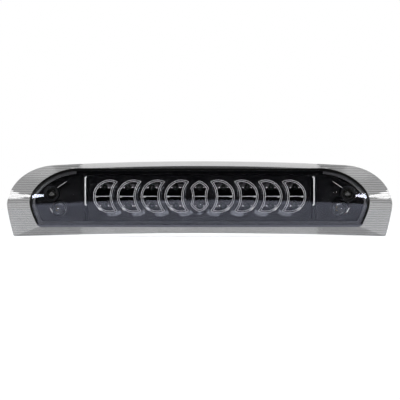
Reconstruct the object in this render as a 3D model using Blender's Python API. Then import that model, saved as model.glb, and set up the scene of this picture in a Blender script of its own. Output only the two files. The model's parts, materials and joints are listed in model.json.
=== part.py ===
"""High-mount brake light for a pickup cab: a wide lens over a row of nine LED cups, with a cargo lamp
at each end. +X is right, the front faces -Y, +Z is up, and y = 0 is the face of the cab panel."""

import math

import bmesh
import bpy
from mathutils import Matrix, Vector

MM = 0.001
GAP = 0.3 * MM  # clearance between pieces that touch on the real lamp

# Lens: outline of the back lip and of the front face, right-hand half
LIP_TOP = 44.2 * MM
LIP_CROWN = 3100 * MM  # radius of the crowned top edge
LIP_SHOULDER = ((165, 39.8), (198, 38), (217.5, 18), (220, -4))
LIP_SIDE = ((220, -4), (220.6, -10), (216.5, -26), (212.4, -41.5))
LIP_BOTTOM = -38 * MM
LIP_DROOP = 13000 * MM  # radius of the hollow bottom edge is half of this
LIP_CORNER = 2 * MM
FACE_TOP = 36.2 * MM
FACE_SHOULDER = ((138, 36.2), (165, 36.2), (193.8, 16), (193.8, -2))
FACE_SIDE = ((193.8, -2), (193.8, -10), (189.5, -19), (184.2, -30.8))
FACE_BOTTOM = -30.8 * MM
FACE_CORNER = 5 * MM
LEAST_CORNER = 1 * MM
N_TOP, N_SHOULDER = 5, 8  # points along each stretch of a quarter outline
N_SIDE, N_CORNER, N_BOTTOM = 4, 3, 6

# Lens: depths and thickness
LENS_REACH = 32 * MM  # how far the middle of the face stands off the panel
BOW_RADIUS = 2300 * MM  # curve of the face from end to end
ROLL_RADIUS = 180 * MM  # curve of the face from top to bottom
CREST = 0.8 * MM  # height of the foremost line at the middle
CREST_RADIUS = 3400 * MM
LIP_REAR, LIP_FRONT = -1.5 * MM, -4.4 * MM
LENS_WALL = 2.5 * MM
FACE_FILLET = 1.4 * MM
FACE_RINGS = (0.8, 0.5, 0.2)

# Mounting screws and the tunnels that they stand in
SCREW_X, SCREW_Z = 168.8 * MM, 7.1 * MM
TUNNEL_HOLE = 9.0 * MM
SLEEVE_BORE, SLEEVE_RADIUS = 7.5 * MM, 8.7 * MM
SLEEVE_SUNK = 0.2 * MM  # how far the sleeve's front lies behind the lens's face
SEAT_REAR, SEAT_FRONT = -5.8 * MM, -8.3 * MM
SHANK_RADIUS, SHANK_HOLE = 2.5 * MM, 3.0 * MM
HEAD_RADIUS, HEAD_HEIGHT = 4.6 * MM, 3.4 * MM
RECESS_REACH, RECESS_WIDTH, RECESS_DEPTH = 2.2 * MM, 1 * MM, 1.8 * MM
WASHER_RADIUS, WASHER_THICKNESS = 6.2 * MM, 1.2 * MM
SCREW_END = 14 * MM

# Housing: a tray behind the face, and a can that passes through the cab panel
TRAY_INSET = 3.3 * MM
TRAY_WALL = 3.0 * MM
PLATE_INSET = 0.3 * MM
PLATE_FRONT, PLATE_REAR = -5.5 * MM, -3.0 * MM
FLANGE_HALF_WIDTH = 131 * MM  # of the plate's raised top edge
FLANGE_DROP = 5.4 * MM  # how far its crowned edge lies below the lens's
FLANGE_STEPS = 6
CAN_HALF_WIDTH = 150 * MM
CAN_TOP, CAN_BOTTOM = 22 * MM, -20 * MM
CAN_REAR = 20 * MM
CAN_CORNER = 6 * MM
CAN_WALL = 2.2 * MM
BOSS_RADIUS = 7.5 * MM

# Cargo lamps
BULB_X, BULB_Z = 160 * MM, -10 * MM
LOBE_RADIUS = 13 * MM
PORT_RADIUS = 8.5 * MM
LUG_RADIUS, LUG_WIDTH, LUG_THICKNESS = 10.2 * MM, 4.4 * MM, 2.2 * MM
NOTCH_TURN = math.radians(45)  # the lugs reach the notches after this turn
BULB_HOLE = 8.6 * MM
HOLDER_NOSE_RADIUS, HOLDER_NOSE_Y = 8.1 * MM, 6 * MM
HOLDER_FLANGE_RADIUS, HOLDER_FLANGE_Y, HOLDER_FLANGE_REAR = 11.6 * MM, 21.6 * MM, 24 * MM
GRIP_LENGTH, GRIP_WIDTH, GRIP_REAR = 19 * MM, 7 * MM, 33 * MM
SOCKET_HALF_X, SOCKET_HALF_Z, SOCKET_END = 5.4 * MM, 3.4 * MM, 16.5 * MM
CONTACT_X, CONTACT_WIDTH, CONTACT_THICKNESS, CONTACT_FRONT = 3.2 * MM, 2.2 * MM, 0.5 * MM, 8 * MM
BASE_HALF_X, BASE_HALF_Z = 4.8 * MM, 1.2 * MM
CARGO_TRAY_X = 132.6 * MM
CARGO_TRAY_INSET = 6.7 * MM
CARGO_FLOOR_REAR, CARGO_FLOOR_FRONT, CARGO_WALL_FRONT = -8.2 * MM, -10 * MM, -17 * MM
CARGO_WALL = 1.6 * MM

# Brake chamber
CUPS = 9
CUP_PITCH = 27.1 * MM
CUP_RADIUS, CUP_CUT_RADIUS = 16.6 * MM, 27 * MM
CUP_SHIFT = 6.1 * MM  # each rim circle lies this far inboard of its LEDs
CUP_Z = 4.2 * MM
COLLAR = 2.2 * MM  # width of the raised edge round a cup
LED_HALF_PITCH = 10.5 * MM
BOWL_RADII = (22 * MM, 13 * MM, 13.5 * MM)
BOWL_Y = -24.2 * MM
REFLECTOR_HALF_WIDTH = 127 * MM
REFLECTOR_TOP, REFLECTOR_BOTTOM = 28 * MM, -24 * MM
REFLECTOR_FRONT, COLLAR_FRONT, REFLECTOR_REAR = -19.7 * MM, -21.7 * MM, -10.2 * MM
LED_RADIUS, LED_FLANGE_RADIUS = 2.5 * MM, 2.9 * MM
LED_HOLE = 3.3 * MM
BOARD_FRONT, BOARD_REAR = -7.5 * MM, -5.9 * MM
BOARD_HALF_WIDTH, BOARD_TOP, BOARD_BOTTOM = 125 * MM, 27.5 * MM, -23.5 * MM
BOARD_SCREW_X, BOARD_SCREW_TOP, BOARD_SCREW_BOTTOM = 106 * MM, 23.8 * MM, -21.2 * MM
RESISTORS = 6
DIVIDER_X, DIVIDER_WIDTH = 130.2 * MM, 1.6 * MM
DIVIDER_CREST = (-6.5 * MM, 27 * MM)

# Gasket and harness inlet
GASKET_INSET = 4.8 * MM
GASKET_WIDTH_GAP = 0.8 * MM
GROMMET_HOLE, GROMMET_FLANGE, GROMMET_BORE = 7 * MM, 9.5 * MM, 3.6 * MM


def material(name, colour, roughness, metallic=0.0, alpha=1.0):
    made = bpy.data.materials.new(name)
    made.use_nodes = True
    shader = made.node_tree.nodes["Principled BSDF"]
    shader.inputs["Base Color"].default_value = (*colour, 1)
    shader.inputs["Roughness"].default_value = roughness
    shader.inputs["Metallic"].default_value = metallic
    shader.inputs["Alpha"].default_value = alpha
    return made


def finish(name, mesh, finish_material=None, at=(0, 0, 0)):
    """Turns a bmesh into a named object whose faces point outwards."""
    bmesh.ops.recalc_face_normals(mesh, faces=mesh.faces)
    data = bpy.data.meshes.new(name)
    mesh.to_mesh(data)
    mesh.free()
    data.shade_smooth()
    data.set_sharp_from_angle(angle=math.radians(32))
    made = bpy.data.objects.new(name, data)
    made.location = at
    if finish_material:
        data.materials.append(finish_material)
    bpy.context.scene.collection.objects.link(made)
    return made


def boolean(target, tool, operation="DIFFERENCE", solver="EXACT"):
    tool.hide_render = True
    tool.display_type = "WIRE"
    modifier = target.modifiers.new(tool.name, "BOOLEAN")
    modifier.operation = operation
    modifier.solver = solver
    modifier.object = tool


def bezier(points, count):
    """count points along a cubic curve given in millimetres, without its last one."""
    a, b, c, d = (Vector(p) * MM for p in points)
    steps = (i / count for i in range(count))
    return [a * (1 - t) ** 3 + 3 * b * t * (1 - t) ** 2 + 3 * c * t * t * (1 - t) + d * t**3 for t in steps]


def shifted(points, distance):
    """Moves the points of an open line to the right of its direction of travel."""
    moved = []
    for i, point in enumerate(points):
        along = points[min(i + 1, len(points) - 1)] - points[max(i - 1, 0)]
        moved.append(point + Vector((along.y, -along.x)).normalized() * distance)
    return moved


def half_outline(shoulder, side, top_z, bottom_z, radius, inset):
    """A right-hand half from the top centre to the bottom centre, moved inwards by inset."""
    reach = shoulder[0][0] * MM
    line = [Vector((reach * i / N_TOP, top_z(reach * i / N_TOP))) for i in range(N_TOP)]
    line += bezier(shoulder, N_SHOULDER) + bezier(side, N_SIDE) + [Vector(side[-1]) * MM]
    line = shifted(line, inset)
    line[0].x = 0
    end, before = line.pop(), line[-1]
    foot_z = bottom_z(end.x) + inset
    foot = before.lerp(end, (before.y - foot_z) / (before.y - end.y))
    radius = max(radius - inset, LEAST_CORNER)
    leaving = foot + (before - foot).normalized() * radius
    arriving = Vector((foot.x - radius, foot_z))
    for i in range(N_CORNER):
        share = i / (N_CORNER - 1)
        line.append(leaving.lerp(foot, share).lerp(foot.lerp(arriving, share), share))
    for i in range(1, N_BOTTOM + 1):
        x = arriving.x * (1 - i / N_BOTTOM)
        line.append(Vector((x, bottom_z(x) + inset)))
    return line


def lip_half(inset=0):
    """Back outline of the lens."""
    return half_outline(
        LIP_SHOULDER,
        LIP_SIDE,
        lambda x: LIP_TOP - x * x / (2 * LIP_CROWN),
        lambda x: LIP_BOTTOM - x * x / LIP_DROOP,
        LIP_CORNER,
        inset,
    )


def face_half(inset=0):
    """Outline of the lens's smooth front face."""
    level = (lambda x: FACE_TOP), (lambda x: FACE_BOTTOM)
    return half_outline(FACE_SHOULDER, FACE_SIDE, *level, FACE_CORNER, inset)


def whole(half):
    """Mirrors a right-hand half to a closed outline that starts at the top centre."""
    return half + [Vector((-p.x, p.y)) for p in reversed(half[1:-1])]


def face_y(x, z):
    """Front surface of the lens: curved from end to end and from top to bottom."""
    crest = CREST - x * x / (2 * CREST_RADIUS)
    return -LENS_REACH + x * x / (2 * BOW_RADIUS) + (z - crest) ** 2 / (2 * ROLL_RADIUS)


def flat_ring(outline, y):
    return [Vector((p.x, y, p.y)) for p in outline]


def face_ring(outline, behind):
    return [Vector((p.x, face_y(p.x, p.y) + behind, p.y)) for p in outline]


def shrunk(outline, share):
    """An outline inside the face, drawn towards the face's long middle line."""
    middle = (FACE_TOP + FACE_BOTTOM) / 2
    across = 1 - (1 - share) * 0.12
    return [Vector((p.x * across, middle + (p.y - middle) * share)) for p in outline]


def loft(rings, seamed_caps=False):
    """A closed skin through rings of equal length. A seamed cap joins its upper half to its lower half."""
    mesh = bmesh.new()
    rows = [[mesh.verts.new(point) for point in ring] for ring in rings]
    count = len(rows[0])
    for row, following in zip(rows, rows[1:]):
        for i in range(count):
            j = (i + 1) % count
            mesh.faces.new((row[i], row[j], following[j], following[i]))
    for row in (rows[0], rows[-1]):
        if not seamed_caps:
            mesh.faces.new(row)
            continue
        half = count // 2
        for i in range(half // 2):
            for side in (1, -1):
                places = (side * i, side * (i + 1), half - side * (i + 1), half - side * i)
                mesh.faces.new(dict.fromkeys(row[place % count] for place in places))
    return mesh


def prism(outline, front, rear):
    return loft([flat_ring(outline, front), flat_ring(outline, rear)])


def circle(radius, segments, centre=(0, 0)):
    turns = (-math.tau * i / segments for i in range(segments))
    return [Vector((centre[0] + radius * math.sin(-t), centre[1] + radius * math.cos(t))) for t in turns]


def turned(profile, segments):
    """A solid turned about the Y axis from (radius, y) pairs."""
    return loft([flat_ring(circle(radius, segments), y) for radius, y in profile])


def closed_loft(rings):
    """A skin through rings of equal length that ends where it began, as round a tube's wall."""
    mesh = bmesh.new()
    rows = [[mesh.verts.new(point) for point in ring] for ring in rings]
    count = len(rows[0])
    for row, following in zip(rows, rows[1:] + rows[:1]):
        for i in range(count):
            j = (i + 1) % count
            mesh.faces.new((row[i], row[j], following[j], following[i]))
    return mesh


def turned_ring(profile, segments):
    """A ring about the Y axis whose section is the closed loop of (radius, y) pairs."""
    return closed_loft([flat_ring(circle(radius, segments), y) for radius, y in profile])


def block(low, high):
    mesh = bmesh.new()
    size = [b - a for a, b in zip(low, high)]
    middle = [(a + b) / 2 for a, b in zip(low, high)]
    matrix = Matrix.Translation(middle) @ Matrix.Diagonal((*size, 1))
    bmesh.ops.create_cube(mesh, size=1, matrix=matrix)
    return mesh


def rounded_box(half_width, top, bottom, radius, steps=4):
    """A clockwise outline with round corners, symmetric about x = 0."""
    centres = (
        (half_width - radius, top - radius),
        (half_width - radius, bottom + radius),
        (radius - half_width, bottom + radius),
        (radius - half_width, top - radius),
    )
    points = []
    for quarter, (x, z) in enumerate(centres):
        for i in range(steps + 1):
            turn = math.radians(90) * (quarter + i / steps)
            points.append(Vector((x + radius * math.sin(turn), z + radius * math.cos(turn))))
    return points


def lens(clear):
    lip, face = whole(lip_half()), whole(face_half())
    inner_lip = whole(lip_half(LENS_WALL))
    outer = [face_ring(shrunk(face, share), 0) for share in reversed(FACE_RINGS)]
    outer.append(face_ring(whole(face_half(FACE_FILLET)), 0))
    outer.append(face_ring(face, FACE_FILLET))
    outer.append(flat_ring(lip, LIP_FRONT))
    outer.append(flat_ring(lip, LIP_REAR))
    inner = [flat_ring(inner_lip, LIP_REAR)]
    inner.append(flat_ring(inner_lip, LIP_FRONT + LENS_WALL / 2))
    inner.append(face_ring(whole(face_half(LENS_WALL)), LENS_WALL + FACE_FILLET))
    inner.append(face_ring(whole(face_half(LENS_WALL + FACE_FILLET)), LENS_WALL))
    inner += [face_ring(shrunk(face, share), LENS_WALL) for share in FACE_RINGS]
    made = finish("lens", loft(outer + inner, seamed_caps=True), clear)
    front = face_y(SCREW_X, SCREW_Z)
    for side, name in ((-1, "left"), (1, "right")):
        hole = turned(((TUNNEL_HOLE, front - 5 * MM), (TUNNEL_HOLE, front + 2 * LENS_WALL)), 24)
        boolean(made, finish(f"tunnel_hole_{name}", hole, at=(side * SCREW_X, 0, SCREW_Z)))
    return made


def screw_sleeves(black):
    """Tubes that carry the screw tunnels from the face to the housing's plate."""
    for side, name in ((-1, "left"), (1, "right")):
        wall, bore, hole = (
            circle(radius, 24, (side * SCREW_X, SCREW_Z))
            for radius in (SLEEVE_RADIUS, SLEEVE_BORE, SHANK_HOLE)
        )
        rings = [flat_ring(wall, SEAT_REAR), face_ring(wall, SLEEVE_SUNK), face_ring(bore, SLEEVE_SUNK)]
        rings += [flat_ring(bore, SEAT_FRONT), flat_ring(hole, SEAT_FRONT), flat_ring(hole, SEAT_REAR)]
        finish(f"screw_sleeve_{name}", closed_loft(rings), black)


def flange_outline():
    """Outline of the plate's raised top edge, which follows the lens's crown."""
    steps = range(-FLANGE_STEPS, FLANGE_STEPS + 1)
    line = [FLANGE_HALF_WIDTH * step / FLANGE_STEPS for step in steps]
    edge = [Vector((x, LIP_TOP - x * x / (2 * LIP_CROWN) - FLANGE_DROP)) for x in line]
    foot = FACE_TOP - 2 * TRAY_INSET
    return edge + [Vector((FLANGE_HALF_WIDTH, foot)), Vector((-FLANGE_HALF_WIDTH, foot))]


def housing(black):
    outside, inside = whole(face_half(TRAY_INSET)), whole(face_half(TRAY_INSET + TRAY_WALL))
    plate = whole(face_half(PLATE_INSET))
    rim = LENS_WALL + 0.5 * MM
    tray = loft((
        flat_ring(inside, PLATE_FRONT),
        face_ring(inside, rim),
        face_ring(outside, rim + FACE_FILLET),
        flat_ring(outside, PLATE_FRONT),
        flat_ring(plate, PLATE_FRONT),
        flat_ring(plate, PLATE_REAR),
    ))
    made = finish("housing", tray, black)
    inner = 0.2 * MM
    flange = prism(flange_outline(), PLATE_FRONT + inner, PLATE_REAR - inner)
    boolean(made, finish("top_flange", flange), "UNION")
    can = rounded_box(CAN_HALF_WIDTH, CAN_TOP, CAN_BOTTOM, CAN_CORNER)
    overlap = 0.8 * MM
    boolean(made, finish("can_outside", prism(can, PLATE_REAR - overlap, CAN_REAR)), "UNION")
    for side, name in ((-1, "left"), (1, "right")):
        bulb_at = (side * BULB_X, 0, BULB_Z)
        screw_at = (side * SCREW_X, 0, SCREW_Z)
        lobe = turned(((LOBE_RADIUS, PLATE_REAR - overlap), (LOBE_RADIUS, CAN_REAR)), 28)
        boss = turned(((BOSS_RADIUS, PLATE_REAR - overlap), (BOSS_RADIUS, 0)), 24)
        boolean(made, finish(f"lobe_outside_{name}", lobe, at=bulb_at), "UNION")
        boolean(made, finish(f"boss_outside_{name}", boss, at=screw_at), "UNION")
    wall = CAN_WALL
    hollow = rounded_box(CAN_HALF_WIDTH - wall, CAN_TOP - wall, CAN_BOTTOM + wall, CAN_CORNER - wall)
    ahead, inner_rear = PLATE_FRONT - 1 * MM, CAN_REAR - CAN_WALL
    boolean(made, finish("can_hollow", prism(hollow, ahead, inner_rear)))
    grommet_hole = turned(((GROMMET_HOLE, inner_rear - 1 * MM), (GROMMET_HOLE, CAN_REAR + 1 * MM)), 20)
    boolean(made, finish("grommet_hole", grommet_hole))
    for side, name in ((-1, "left"), (1, "right")):
        bulb_at = (side * BULB_X, 0, BULB_Z)
        hollow = turned(((LOBE_RADIUS - CAN_WALL, ahead), (LOBE_RADIUS - CAN_WALL, inner_rear)), 28)
        port = turned(((PORT_RADIUS, inner_rear - 1 * MM), (PORT_RADIUS, CAN_REAR + 1 * MM)), 24)
        reach, half = LUG_RADIUS + 0.5 * MM, LUG_WIDTH / 2 + 0.5 * MM
        notch = block((-reach, inner_rear - 1 * MM, -half), (reach, CAN_REAR + 1 * MM, half))
        notch_tool = finish(f"port_notch_{name}", notch, at=bulb_at)
        notch_tool.rotation_euler.y = NOTCH_TURN
        hole = turned(((SHANK_HOLE, PLATE_FRONT - 1 * MM), (SHANK_HOLE, 1 * MM)), 16)
        boolean(made, finish(f"lobe_hollow_{name}", hollow, at=bulb_at))
        boolean(made, finish(f"bulb_port_{name}", port, at=bulb_at))
        boolean(made, notch_tool)
        boolean(made, finish(f"screw_hole_{name}", hole, at=(side * SCREW_X, 0, SCREW_Z)))
    for number, (x, z) in enumerate(board_screw_places(), 1):
        pilot = turned(((1.75 * MM, PLATE_FRONT - 1 * MM), (1.75 * MM, PLATE_REAR + 1 * MM)), 12)
        boolean(made, finish(f"pilot_hole_{number}", pilot, at=(x, 0, z)))
    return made


def gasket(foam):
    made = finish("gasket", prism(whole(face_half(GASKET_INSET)), PLATE_REAR + GAP, 0), foam)
    wide = GASKET_WIDTH_GAP
    window = rounded_box(CAN_HALF_WIDTH + wide, CAN_TOP + wide, CAN_BOTTOM - wide, CAN_CORNER + wide)
    boolean(made, finish("gasket_window", prism(window, PLATE_REAR - 1 * MM, 1 * MM)))
    for side, name in ((-1, "left"), (1, "right")):
        lobe = turned(((LOBE_RADIUS + wide, PLATE_REAR - 1 * MM), (LOBE_RADIUS + wide, 1 * MM)), 28)
        boss = turned(((BOSS_RADIUS + wide, PLATE_REAR - 1 * MM), (BOSS_RADIUS + wide, 1 * MM)), 24)
        boolean(made, finish(f"gasket_lobe_{name}", lobe, at=(side * BULB_X, 0, BULB_Z)))
        boolean(made, finish(f"gasket_boss_{name}", boss, at=(side * SCREW_X, 0, SCREW_Z)))
    return made


def arc(centre, radius, start, end, count):
    """Points from start to end, which are angles from +X towards +Z, without the last one."""
    turns = (start + (end - start) * i / count for i in range(count))
    return [Vector((centre + radius * math.cos(t), radius * math.sin(t))) for t in turns]


def side_cup(rim, cut):
    """Outline of a left-hand cup about its LEDs: a circle cut by a ring round the next cup inboard."""
    crossing = (rim**2 - cut**2 + CUP_PITCH**2) / (2 * CUP_PITCH)
    corner = math.acos(crossing / rim)
    cut_corner = math.acos((crossing - CUP_PITCH) / cut)
    outer = arc(CUP_SHIFT, rim, corner, math.tau - corner, 16)
    return outer + arc(CUP_SHIFT + CUP_PITCH, cut, math.tau - cut_corner, cut_corner, 6)


def middle_cup(rim, cut):
    """Outline of the middle cup, which is cut on both sides by its neighbours' rings."""
    apart = 2 * CUP_SHIFT + CUP_PITCH
    crossing = (rim**2 - cut**2 + apart**2) / (2 * apart)
    corner, apex = math.acos(crossing / rim), math.acos(CUP_SHIFT / rim)
    cut_corner = math.acos((crossing - apart) / cut)
    half = arc(-CUP_SHIFT, rim, -apex, -corner, 4)
    half += arc(CUP_SHIFT + CUP_PITCH, cut, math.tau - cut_corner, cut_corner, 6)
    half += arc(-CUP_SHIFT, rim, corner, apex, 4)
    return half + [Vector((-p.x, -p.y)) for p in half]


def cup_outline(index, grow):
    """Outline of one cup in place, with its edge moved outwards by grow."""
    number = index - CUPS // 2
    rim, cut = CUP_RADIUS + grow, CUP_CUT_RADIUS - grow
    outline = middle_cup(rim, cut) if number == 0 else side_cup(rim, cut)
    side = -1 if number > 0 else 1
    return [Vector((side * p.x + number * CUP_PITCH, p.y + CUP_Z)) for p in outline]


def led_places():
    for index in range(CUPS):
        for row in (1, -1):
            yield (index - CUPS // 2) * CUP_PITCH, CUP_Z + row * LED_HALF_PITCH


def bowl(x, z, spin):
    """A deep ellipsoid about an LED. The spin keeps its corners off those of the bowl that it meets."""
    mesh = bmesh.new()
    turn = Matrix.Rotation(math.radians(90), 4, "X") @ Matrix.Rotation(math.radians(spin), 4, "Z")
    place = Matrix.Translation((x, BOWL_Y, z)) @ Matrix.Diagonal((*BOWL_RADII, 1)) @ turn
    bmesh.ops.create_uvsphere(mesh, u_segments=14, v_segments=8, radius=1, matrix=place)
    return mesh


def led_reflector(dark_chrome):
    plate = rounded_box(REFLECTOR_HALF_WIDTH, REFLECTOR_TOP, REFLECTOR_BOTTOM, 2 * MM, steps=2)
    made = finish("led_reflector", prism(plate, REFLECTOR_FRONT, REFLECTOR_REAR), dark_chrome)
    for index in range(CUPS):
        collar = prism(cup_outline(index, COLLAR), COLLAR_FRONT, REFLECTOR_FRONT + 1 * MM)
        boolean(made, finish(f"cup_collar_{index + 1}", collar), "UNION", "MANIFOLD")
    for index in range(CUPS):
        x = (index - CUPS // 2) * CUP_PITCH
        upper = finish(f"cup_upper_{index + 1}", bowl(x, CUP_Z + LED_HALF_PITCH, 5))
        lower = finish(f"cup_lower_{index + 1}", bowl(x, CUP_Z - LED_HALF_PITCH, 11))
        inside = prism(cup_outline(index, 0), COLLAR_FRONT - 1 * MM, REFLECTOR_REAR)
        hollow = finish(f"cup_hollow_{index + 1}", inside)
        boolean(upper, lower, "UNION", "MANIFOLD")
        boolean(hollow, upper, "INTERSECT", "MANIFOLD")
        boolean(made, hollow, solver="MANIFOLD")
    for number, (x, z) in enumerate(led_places(), 1):
        hole = turned(((LED_HOLE, COLLAR_FRONT), (LED_HOLE, REFLECTOR_REAR + 1 * MM)), 8)
        boolean(made, finish(f"led_hole_{number}", hole, at=(x, 0, z)), solver="MANIFOLD")
    return made


def leds(clear):
    """Round LEDs: a flange, a body and a domed tip."""
    tip = BOARD_FRONT - 9 * MM
    profile = [(LED_FLANGE_RADIUS, BOARD_FRONT - GAP), (LED_FLANGE_RADIUS, BOARD_FRONT - 1.3 * MM)]
    profile += [(LED_RADIUS, BOARD_FRONT - 1.3 * MM), (LED_RADIUS, tip + LED_RADIUS)]
    for degrees in (35, 70):
        turn = math.radians(degrees)
        profile.append((LED_RADIUS * math.cos(turn), tip + LED_RADIUS * (1 - math.sin(turn))))
    for number, (x, z) in enumerate(led_places(), 1):
        finish(f"led_{number:02d}", turned(profile, 8), clear, at=(x, 0, z))


def board_screw_places():
    for x in (-BOARD_SCREW_X, BOARD_SCREW_X):
        for z in (BOARD_SCREW_TOP, BOARD_SCREW_BOTTOM):
            yield x, z


def led_board(laminate):
    outline = rounded_box(BOARD_HALF_WIDTH, BOARD_TOP, BOARD_BOTTOM, 2 * MM, steps=2)
    made = finish("led_board", prism(outline, BOARD_FRONT, BOARD_REAR), laminate)
    for number, (x, z) in enumerate(board_screw_places(), 1):
        hole = turned(((1.8 * MM, BOARD_FRONT - 1 * MM), (1.8 * MM, BOARD_REAR + 1 * MM)), 12)
        boolean(made, finish(f"board_hole_{number}", hole, at=(x, 0, z)))
    return made


def board_screws(steel):
    head_rear = BOARD_FRONT - GAP
    profile = ((2.0 * MM, head_rear - 1.8 * MM), (2.8 * MM, head_rear - 1.0 * MM), (2.8 * MM, head_rear))
    profile += ((1.4 * MM, head_rear), (1.4 * MM, PLATE_REAR - GAP))
    for number, (x, z) in enumerate(board_screw_places(), 1):
        finish(f"board_screw_{number}", turned(profile, 12), steel, at=(x, 0, z))


def board_parts(ceramic, black):
    """Axial parts that lie behind the board: one resistor for each string of LEDs, and a diode."""
    behind = BOARD_REAR + 1.9 * MM
    profile = ((1.0 * MM, -3.2 * MM), (1.3 * MM, -2.4 * MM), (1.3 * MM, 2.4 * MM), (1.0 * MM, 3.2 * MM))
    for i in range(RESISTORS):
        x = (i - (RESISTORS - 1) / 2) * CUP_PITCH * 1.5
        made = finish(f"resistor_{i + 1}", turned(profile, 10), ceramic, at=(x, behind, CUP_Z))
        made.rotation_euler.z = math.radians(90)
    diode = turned(((1.4 * MM, -2.6 * MM), (1.4 * MM, 2.6 * MM)), 12)
    made = finish("rectifier_diode", diode, black, at=(14 * MM, behind, -10 * MM))
    made.rotation_euler.z = math.radians(90)


def dividers(grey):
    """Upright baffles with a raised crest that ends short of the top and bottom."""
    low, high = DIVIDER_CREST
    base, crest, rear = -19.5 * MM, -23.2 * MM, PLATE_FRONT - GAP
    outline = ((rear, -23.8), (base, -23.8), (base, low / MM), (crest, low / MM + 1.5))
    outline += ((crest, high / MM - 1.5), (base, high / MM), (rear, high / MM))
    for side, name in ((-1, "left"), (1, "right")):
        mesh = bmesh.new()
        near = [mesh.verts.new((-DIVIDER_WIDTH / 2, y, z * MM)) for y, z in outline]
        face = mesh.faces.new(near)
        grown = bmesh.ops.extrude_face_region(mesh, geom=[face])["geom"]
        moved = [item for item in grown if isinstance(item, bmesh.types.BMVert)]
        bmesh.ops.translate(mesh, verts=moved, vec=(DIVIDER_WIDTH, 0, 0))
        finish(f"divider_{name}", mesh, grey, at=(side * DIVIDER_X, 0, 0))


def cargo_tray_outlines():
    """Outer and inner outlines of the right-hand tray: the face's end, cut off square at its inboard side."""
    halves = face_half(CARGO_TRAY_INSET), face_half(CARGO_TRAY_INSET + CARGO_WALL)
    kept = [i for i, point in enumerate(halves[0]) if point.x > CARGO_TRAY_X + 2 * CARGO_WALL]
    for half, edge in zip(halves, (CARGO_TRAY_X, CARGO_TRAY_X + CARGO_WALL)):
        end = [half[i] for i in kept]
        yield end + [Vector((edge, end[-1].y)), Vector((edge, end[0].y))]


def cargo_reflectors(black):
    outer, inner = cargo_tray_outlines()
    rings = (
        flat_ring(inner, CARGO_FLOOR_FRONT),
        flat_ring(inner, CARGO_WALL_FRONT),
        flat_ring(outer, CARGO_WALL_FRONT),
        flat_ring(outer, CARGO_FLOOR_REAR),
    )
    ahead, behind = CARGO_WALL_FRONT - 1 * MM, CARGO_FLOOR_REAR + 1 * MM
    tunnel_hole = SLEEVE_RADIUS + 0.5 * MM
    for side, name in ((-1, "left"), (1, "right")):
        placed = [[Vector((side * p.x, p.y, p.z)) for p in ring] for ring in rings]
        made = finish(f"cargo_reflector_{name}", loft(placed), black)
        tunnel = turned(((tunnel_hole, ahead), (tunnel_hole, behind)), 24)
        bulb = turned(((BULB_HOLE, ahead), (BULB_HOLE, behind)), 24)
        boolean(made, finish(f"cargo_tunnel_{name}", tunnel, at=(side * SCREW_X, 0, SCREW_Z)))
        boolean(made, finish(f"cargo_bulb_hole_{name}", bulb, at=(side * BULB_X, 0, BULB_Z)))


def mounting_screws(steel, rubber):
    """A pan-head screw with a cross recess over a captive sealing washer, at each end."""
    washer_rear = SEAT_FRONT - GAP
    washer_front = washer_rear - WASHER_THICKNESS
    head_rear = washer_front - GAP
    head_front = head_rear - HEAD_HEIGHT
    for side, name in ((-1, "left"), (1, "right")):
        at = (side * SCREW_X, 0, SCREW_Z)
        hole = SHANK_RADIUS + GAP
        section = ((hole, washer_front), (WASHER_RADIUS, washer_front))
        section += ((WASHER_RADIUS, washer_rear), (hole, washer_rear))
        finish(f"screw_washer_{name}", turned_ring(section, 20), rubber, at=at)
        profile = ((2.6 * MM, head_front), (HEAD_RADIUS - 0.6 * MM, head_front + 0.7 * MM))
        profile += ((HEAD_RADIUS, head_front + 2 * MM), (HEAD_RADIUS, head_rear), (SHANK_RADIUS, head_rear))
        profile += ((SHANK_RADIUS, SCREW_END - 3 * MM), (1.2 * MM, SCREW_END))
        made = finish(f"mounting_screw_{name}", turned(profile, 20), steel, at=at)
        for turn in (0, 90):
            low = (-RECESS_REACH, head_front - 1 * MM, -RECESS_WIDTH / 2)
            slot = block(low, (RECESS_REACH, head_front + RECESS_DEPTH, RECESS_WIDTH / 2))
            tool = finish(f"cross_recess_{name}_{turn}", slot, at=at)
            tool.rotation_euler.y = math.radians(turn)
            boolean(made, tool)


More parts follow.
